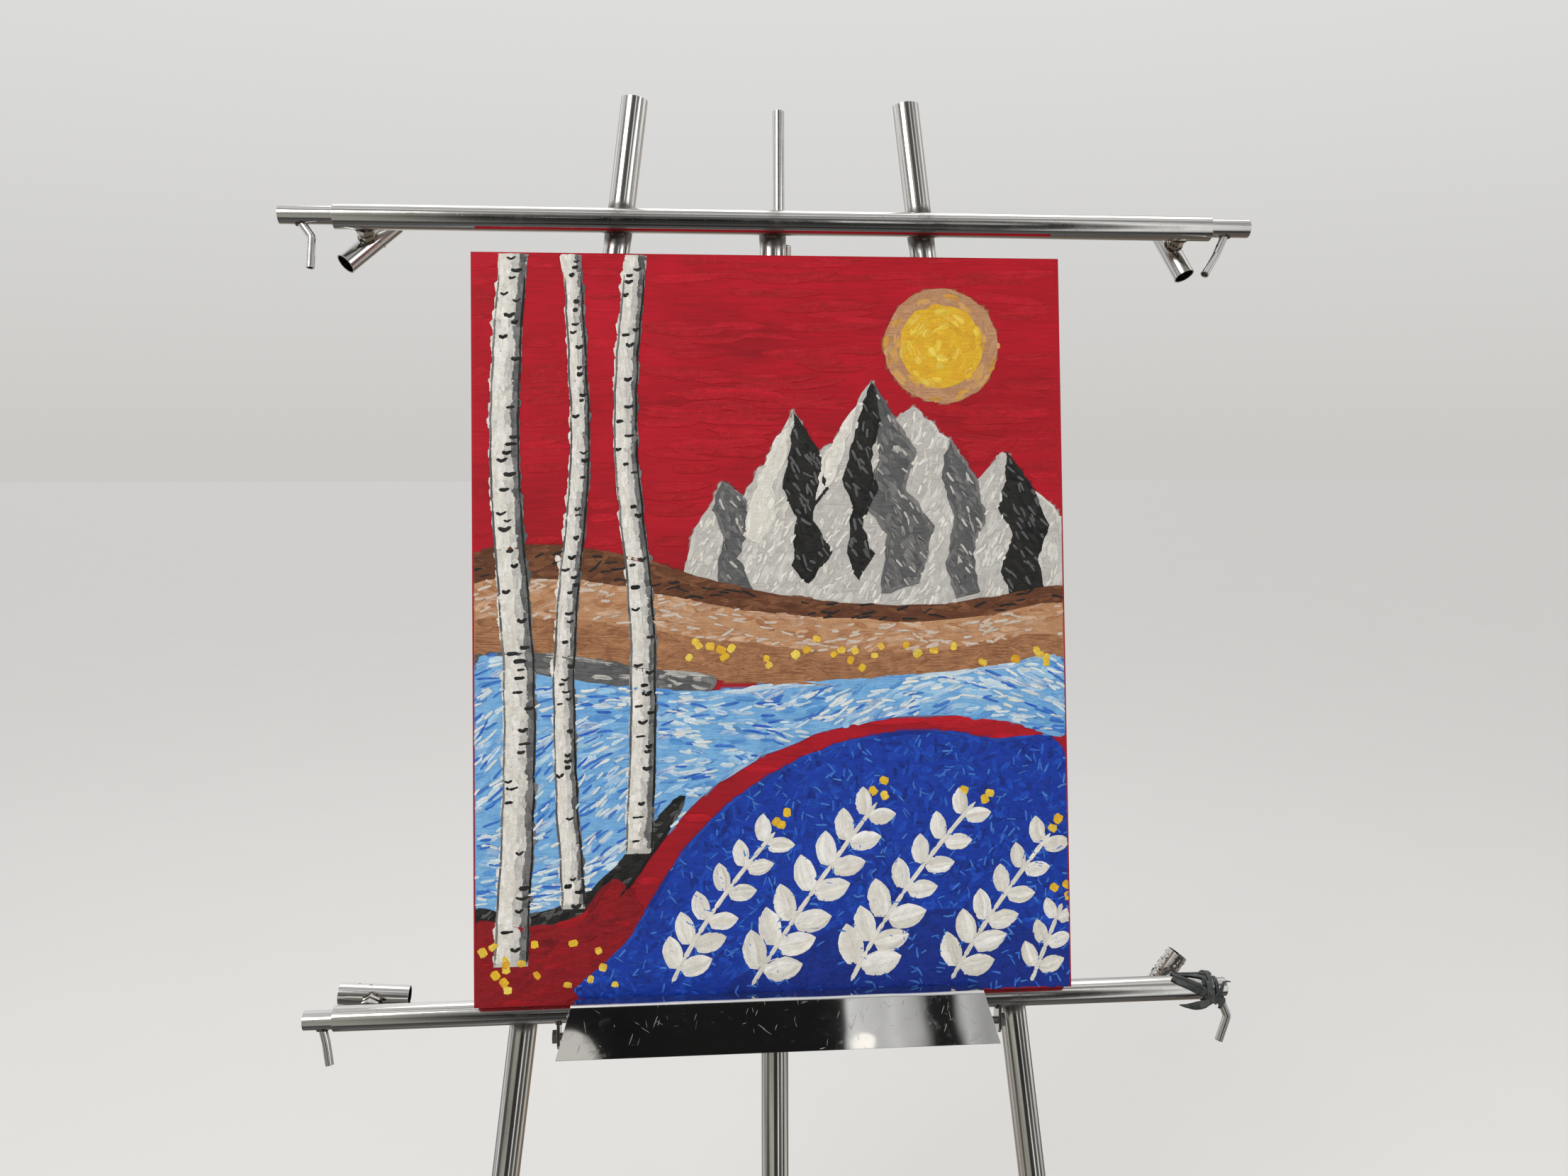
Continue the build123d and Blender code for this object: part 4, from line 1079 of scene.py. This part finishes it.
def build_tie():
    """Old rubber strip: from the handle's neck along the bar, round its end and knotted in front."""
    bar_end = BAR_CENTRE_X["bottom"] + BAR_LENGTH / 2
    start, direction, across = screw_frame("bottom_right")
    parts = []

    def around(controls, width, count=44, shift=Vector()):
        """Controls: millimetres from the bar's end, degrees round the bar from its front, lift in millimetres."""
        points, normals = [], []
        for x, turn, lift in smooth_line(controls, count):
            way, radius = (math.sin(math.radians(turn)), math.cos(math.radians(turn))), BAR_R + lift / 1000
            points.append(shift + front_point(bar_end + x / 1000, LOW_BAR_S + radius * way[0],
                                              BAR_FORWARD + radius * way[1]))
            normals.append(front_direction(0, *way))
        parts.append(strip_mesh(points, normals, width))

    def loose(controls, widths, count=36):
        """Controls: millimetres right of the bar's end, above its axis, and out of its front."""
        line = smooth_line([front_point(bar_end + x / 1000, LOW_BAR_S + s / 1000, BAR_FORWARD + BAR_R + n / 1000)
                            for x, s, n in controls], count)
        parts.append(strip_mesh([Vector(p) for p in line], [front_direction(0, 0.3, 1)] * count,
                                np.interp(np.linspace(0, 1, count), np.linspace(0, 1, len(widths)), widths)))

    # stretched strips on the front and the top
    around([(-43, 66, 1.3), (-37, 46, 1.0), (-27, 22, 1.0), (-16, -2, 1.2), (-7, -24, 1.8), (-1, -46, 2.2)],
           0.0082)
    around([(-41, 84, 2.2), (-34, 62, 2.2), (-24, 40, 2.0), (-13, 14, 2.4), (-5, -10, 3.2)], 0.0046)
    around([(-40, 99, 1.2), (-31, 90, 1.0), (-21, 82, 1.0), (-12, 70, 1.2), (-6, 46, 1.8), (-5, 14, 2.6)], 0.0062)
    around([(-41, 112, 2.3), (-31, 103, 2.0), (-20, 97, 1.9), (-10, 90, 2.2), (-2, 62, 2.8)], 0.0042)
    around([(-40, 122, 1.2), (-28, 118, 1.0), (-16, 112, 1.2), (-6, 104, 2.2)], 0.0050)
    # turns round the bar's end, and round the arm beside it
    around([(-10 + 8.5 * k / 12 + (k % 3) * 0.4, 20 + k * 82, 0.9 + 0.16 * k) for k in range(13)], 0.0044, 120)
    around([(-1.5 - 6 * k / 8, 70 + k * 86, 3.0 + 0.14 * k) for k in range(9)], 0.0040, 90)
    around([(2.0 + 0.4 * k, 40 + k * 88, -2.2 + 0.1 * k) for k in range(8)], 0.0040, 70, direction * -ARM_SHIFT)
    # two turns round the neck of the screw
    for layer in range(2):
        outs = [SIDEWAYS * math.cos(turn) + across * math.sin(turn)
                for turn in (2 * math.pi * k / 33 * 1.15 + layer for k in range(34))]
        neck = start + direction * (0.0195 + 0.0032 * layer)
        parts.append(strip_mesh([neck + out * (NECK_R + 0.0010 * layer) for out in outs], outs, 0.0046))
    # the knot's lobes
    loose([(-11, -8, 1.5), (-6, -5.5, 4.6), (-1, -7, 6.0), (2.5, -10, 5.0)], (0.005, 0.0062, 0.0056))
    loose([(-3, 1, 3.4), (-4.5, -3.5, 5.8), (-3.5, -8.5, 6.2), (0.5, -12, 4.4)], (0.005, 0.0058, 0.005))
    loose([(-1, -5, 5.2), (3.4, -8.6, 5.0), (6.2, -14, 2.6), (5.2, -19.5, -0.5)],
          (0.0052, 0.0066, 0.0058, 0.0030))
    loose([(1, -9.5, 4.2), (4.5, -12.5, 3.2), (9.5, -12, 0.5), (11.0, -9, -2.5)], (0.0046, 0.0050, 0.0040))
    # tails: a broad one folded to the left, a thin one up to the right
    loose([(-2, -7.5, 5.4), (-9, -11.2, 4.6), (-19, -14.0, 3.0), (-29, -15.4, 1.0), (-38, -14.6, -1.0)],
          (0.0046, 0.0072, 0.0076, 0.0052, 0.0010))
    loose([(-5, -9.5, 4.4), (-13, -15.4, 3.2), (-22, -17.6, 1.4), (-31, -17.0, 0.0)],
          (0.0044, 0.0050, 0.0040, 0.0012))
    loose([(-1, -7, 6.0), (3.0, -1.5, 6.4), (6.6, 5.0, 4.6), (9.6, 9.4, 2.4)], (0.0060, 0.0056, 0.0040, 0.0026))
    loose([(8.4, 8.0, 3.0), (12, 9.6, 2.2), (17, 9.0, 1.2)], (0.0024, 0.0018, 0.0012), 20)
    piece = add_mesh("rubber_strip", *join(parts), LOOKS["tie_rubber"], slot="tie_rubber")
    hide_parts("rubber_tie")


# A staple seen from its side: towards its ends, and height over the back of the canvas
STAPLE = ((-1, 0.0012), (-1, -0.00035), (1, -0.00035), (1, 0.0012))
STAPLE_HALF = 0.0055
STAPLE_WIRE_R = 0.0004
STAPLE_STEP = 0.052
KEY_HEIGHTS = (0.0058, 0.0088)
KEY_LENGTH = 0.024
KEY_FACES = [(0, 1, 2, 3), (7, 6, 5, 4), (0, 4, 5, 1), (1, 5, 6, 2), (2, 6, 7, 3), (3, 7, 4, 0)]
RAIL_WIDTH = 0.041


def build_back():
    """The canvas's back: staples through the fold, and two wooden keys in each corner."""
    rng = np.random.default_rng(33)
    half, middle = CANVAS_WIDTH / 2, CANVAS_HEIGHT / 2
    staples, keys = [], []
    for level, reach in ((True, half), (False, middle)):
        for sign in (-1, 1):
            for t in np.arange(-reach + 0.030, reach - 0.028, STAPLE_STEP):
                t += rng.normal(0, 0.003)
                inset = 0.013 + rng.normal(0, 0.0012)
                arm = unit(rng.normal(0, 0.16) + (0 if level else math.pi / 2)) * STAPLE_HALF
                centre = (t, middle + sign * (middle - inset)) if level else (sign * (half - inset), middle + t)
                run = canvas_to_frame([(*(centre + way * arm), z) for way, z in STAPLE])
                staples.append(sweep([Vector(p) for p in run], [STAPLE_WIRE_R] * len(run), 6))
    wire = fastener_material("staple_wire", (0.5, 0.49, 0.46), 0.25)
    add_mesh("staples", *join(staples), wire, slot="fastener_steel")
    for sx in (-1, 1):
        for sy in (-1, 1):
            corner = np.array([sx * (half - RAIL_WIDTH), middle + sy * (middle - RAIL_WIDTH)])
            inward = np.array([(-sx, 0), (0, -sy)])
            for long_way, wide_way in (inward, inward[::-1]):
                base = corner + long_way * rng.uniform(0.004, 0.009) - wide_way * 0.004
                tip = base + long_way * KEY_LENGTH
                outline = [base, tip, tip + wide_way * 0.009, base + wide_way * 0.0045]
                keys.append((canvas_to_frame([(*p, z) for z in KEY_HEIGHTS for p in outline]), KEY_FACES))
    wedges = add_mesh("corner_keys", *join(keys), LOOKS["stretcher_wood"], smooth=False, slot="stretcher_wood")
    bevel = wedges.modifiers.new("bevel", "BEVEL")
    bevel.width = 0.0006
    bevel.segments = 2


# Room seen in the steel: a pale ceiling, white and brown walls, dark gaps and bright strips.
# Angles in degrees: height above level, and turn from straight ahead of the canvas to its right.
AHEAD = [(-90, 0.40), (-80, 0.34), (-72, 0.10), (-60, 0.14), (-50, 0.03), (-42, 0.02), (-37, 0.16), (-27, 0.18),
         (-20, 0.10), (-4, 0.08), (0, 0.016), (12, 0.02), (14, 0.26), (30, 0.30), (34, 0.55), (46, 0.60),
         (50, 0.26), (60, 0.34), (63, 0.95), (69, 0.95), (71, 0.40), (90, 0.60)]
BEHIND = [(-90, 0.40), (-70, 0.12), (-60, (0.16, 0.12, 0.09)), (-30, (0.30, 0.24, 0.18)), (-24, 0.06),
          (-18, 0.30), (-5, 0.50), (8, 1.10), (50, 1.20), (64, 0.60), (75, 0.80), (90, 0.55)]
LEVEL = [(-180, 0.75), (-150, 0.85), (-141, 0.10), (-130, 0.55), (-105, 0.95), (-99, 0.04), (-93, 0.90),
         (-80, 0.70), (-75, 0.04), (-54, (0.09, 0.07, 0.05)), (-48, (0.52, 0.50, 0.44)),
         (-16, (0.58, 0.57, 0.51)), (-9, 0.012), (17, 0.012), (19, 0.10), (22, 1.50), (27, 1.50), (30, 0.06),
         (50, (0.13, 0.11, 0.09)), (57, 1.10), (61, 1.10), (65, 0.05), (84, 0.05), (96, 0.90), (112, 0.90),
         (118, 0.05), (140, (0.36, 0.25, 0.15)), (155, 0.05), (166, 0.70), (180, 0.75)]
DOORWAY = [(6.95, 0.0), (7.05, 1.0), (8.4, 0.70), (9.2, 0.85), (10.3, 0.5), (10.8, 0.0), (11.9, 0.0),
           (12.3, 0.75), (13.2, 0.45), (14.6, 0.6), (16, 0.0)]
SKYLINE = [(0.0, (0.60, 0.592, 0.572)), (0.497, (0.60, 0.592, 0.572)), (0.66, (0.80, 0.80, 0.80))]


def build_world():
    world = bpy.data.worlds.new("world")
    tree = Tree(world)
    ray = tree.vector("NORMALIZE", tree.add("TexCoord").outputs["Generated"])
    x, y, z = tree.add("SeparateXYZ", {0: ray}).outputs
    height = tree.layered(0.5, (tree.math("ARCSINE", z), 1 / math.pi))
    turn = tree.layered(0.5, (tree.math("ARCTAN2", x, tree.times(y, -1.0)), 0.5 / math.pi))
    ahead, behind, level = (
        tree.ramp(value, [(angle / whole + 0.5, colour) for angle, colour in table])
        for value, whole, table in ((height, 180, AHEAD), (height, 180, BEHIND), (turn, 360, LEVEL)))
    facing = tree.ramp(turn, [(0.0, 0.0), (0.28, 0.0), (0.40, 1.0), (0.60, 1.0), (0.72, 0.0)])
    steep = tree.ramp(height, [(0.22, 1.0), (0.34, 0.0), (0.66, 0.0), (0.80, 1.0)])
    room = tree.mix(facing, behind, ahead)
    room = tree.mix(steep, tree.mix(0.66, room, level), room)
    # edges of doors, frames and beams
    for value, scale, size in ((height, 34, 1.1), (turn, 46, 0.9)):
        lines = tree.add("TexNoise", {"W": value, "Scale": scale, "Detail": 2}, noise_dimensions="1D")
        room = tree.dimmed(room, tree.layered(1.0 - size / 2, (lines.outputs["Fac"], size)))
    # a lit doorway and two pale things in front, seen in the ledge
    low_band = tree.ramp(height, [(0.50, 0.0), (0.515, 1.0), (0.59, 1.0), (0.61, 0.0)])
    doorway = tree.ramp(tree.layered(-5.375, (turn, 11.25)), [((e + 8) / 32, value) for e, value in DOORWAY])
    room = tree.mix(low_band, room, tree.mix(1.0, room, doorway, "LIGHTEN"))
    for up, right, reach, value in ((8.7, -5.6, 1.5, 0.80), (8.9, 7.7, 0.55, 1.6)):
        up, right, edge = math.radians(up), math.radians(right), (math.cos(math.radians(reach)) - 0.9995) * 2000
        toward = (math.sin(right) * math.cos(up), -math.cos(right) * math.cos(up), math.sin(up))
        near = tree.layered(-1999.0, (tree.vector("DOT_PRODUCT", ray, toward), 2000.0))
        room = tree.mix(tree.rise(near, edge, edge + 0.02), room, (value, value * 0.97, value * 0.92))
    seen = tree.add("LightPath").outputs["Is Glossy Ray"]
    tree.set(tree.nodes["Background"].inputs["Color"], tree.mix(seen, tree.ramp(height, SKYLINE), room))
    bpy.context.scene.world = world


# Lights: name, place, size across and along, power, colour, all aimed at the canvas
LIGHTS = [("key", (-1.9, -2.4, 3.1), (1.6, 1.6), 34.0, (1.0, 0.985, 0.96)),
          ("fill", (2.6, -2.2, 1.9), (1.4, 1.8), 9.0, (0.96, 0.98, 1.0)),
          ("top", (0.2, 0.9, 3.4), (2.6, 1.2), 16.0, (1.0, 1.0, 1.0))]
AIM = Vector((0.0, -0.15, 1.0))


def add_lights():
    for name, place, size, power, colour in LIGHTS:
        light = bpy.data.lights.new(name, "AREA")
        light.shape = "RECTANGLE"
        light.size, light.size_y = size
        light.energy = power
        light.color = colour
        lamp = bpy.data.objects.new(name, light)
        lamp.location = place
        lamp.rotation_euler = (AIM - Vector(place)).to_track_quat("-Z", "Y").to_euler()
        bpy.context.scene.collection.objects.link(lamp)


def add_floor():
    h = FLOOR_HALF
    s = Surface("floor")
    material = s.finish(s.mix(s.noise(3, 3), shade(FLOOR_COLOUR, 0.97), FLOOR_COLOUR), 0.65)
    floor = add_mesh("floor", [(-h, -h, 0), (h, -h, 0), (h, h, 0), (-h, h, 0)], [(0, 1, 2, 3)], material,
                     body=None, smooth=False)
    floor.visible_glossy = False


def upright_axis(upright):
    return front_direction(UPRIGHTS[upright][1], 1, 0).normalized()


def crossings(uprights, rows):
    """Places on the front of the uprights where the bars are welded on."""
    return [front_point(upright_x(upright, BAR_S[row]), BAR_S[row], UPRIGHT_R)
            for upright in uprights for row in rows]


# Looks by node, or by material slot where the node has none of its own
WELD = weld_material()
LOOKS = {
    "sheet_steel": sheet_steel_material(),
    "fastener_steel": fastener_material(),
    "foot_rubber": rubber_material("foot_rubber", (0.016, 0.016, 0.016), (0.10, 0.095, 0.085), 0.62),
    "tie_rubber": rubber_material("tie_rubber", (0.026, 0.030, 0.029), (0.14, 0.15, 0.145), 0.36),
    "stretcher_wood": wood_material(),
    "painted_canvas": cloth_material(),
    "mast_rod": steel_material("steel_rod", upright_axis("mast"), rough=0.12, streaks=0.5),
    "rear_leg": steel_material("steel_rear_leg", REAR_AXIS, spots=[front_point(HINGE_X, HINGE_S, -0.036)],
                               spot_radius=0.02),
    "tube_steel": steel_material("steel_small", SIDEWAYS, base=(0.68, 0.67, 0.65), rough=0.09, streaks=0.4),
}
for upright in UPRIGHTS:
    LOOKS[upright] = steel_material("steel_" + upright, upright_axis(upright), spots=crossings([upright], BAR_S),
                                    spot_radius=0.0250, streaks=0.6)
for row in BAR_S:
    LOOKS[row + "_bar"] = steel_material("steel_" + row + "_bar", SIDEWAYS, spots=crossings(UPRIGHTS, [row]),
                                         spot_radius=0.0215, pitted=0.06)

add_camera()
add_floor()
add_lights()
build_world()
for row in frame["record"]["subparts"]:
    materials = frame["nodes"][row["node"]].data.materials
    materials.clear()
    materials.append(LOOKS.get(row["node"], LOOKS.get(row["material_slot"], LOOKS["tube_steel"])))
cloth, back_face = build_cloth(undercoat)
picture = paint_picture()
build_welds()
build_spatter()
build_tie()
build_back()
bpy.context.scene.view_settings.view_transform = "Standard"
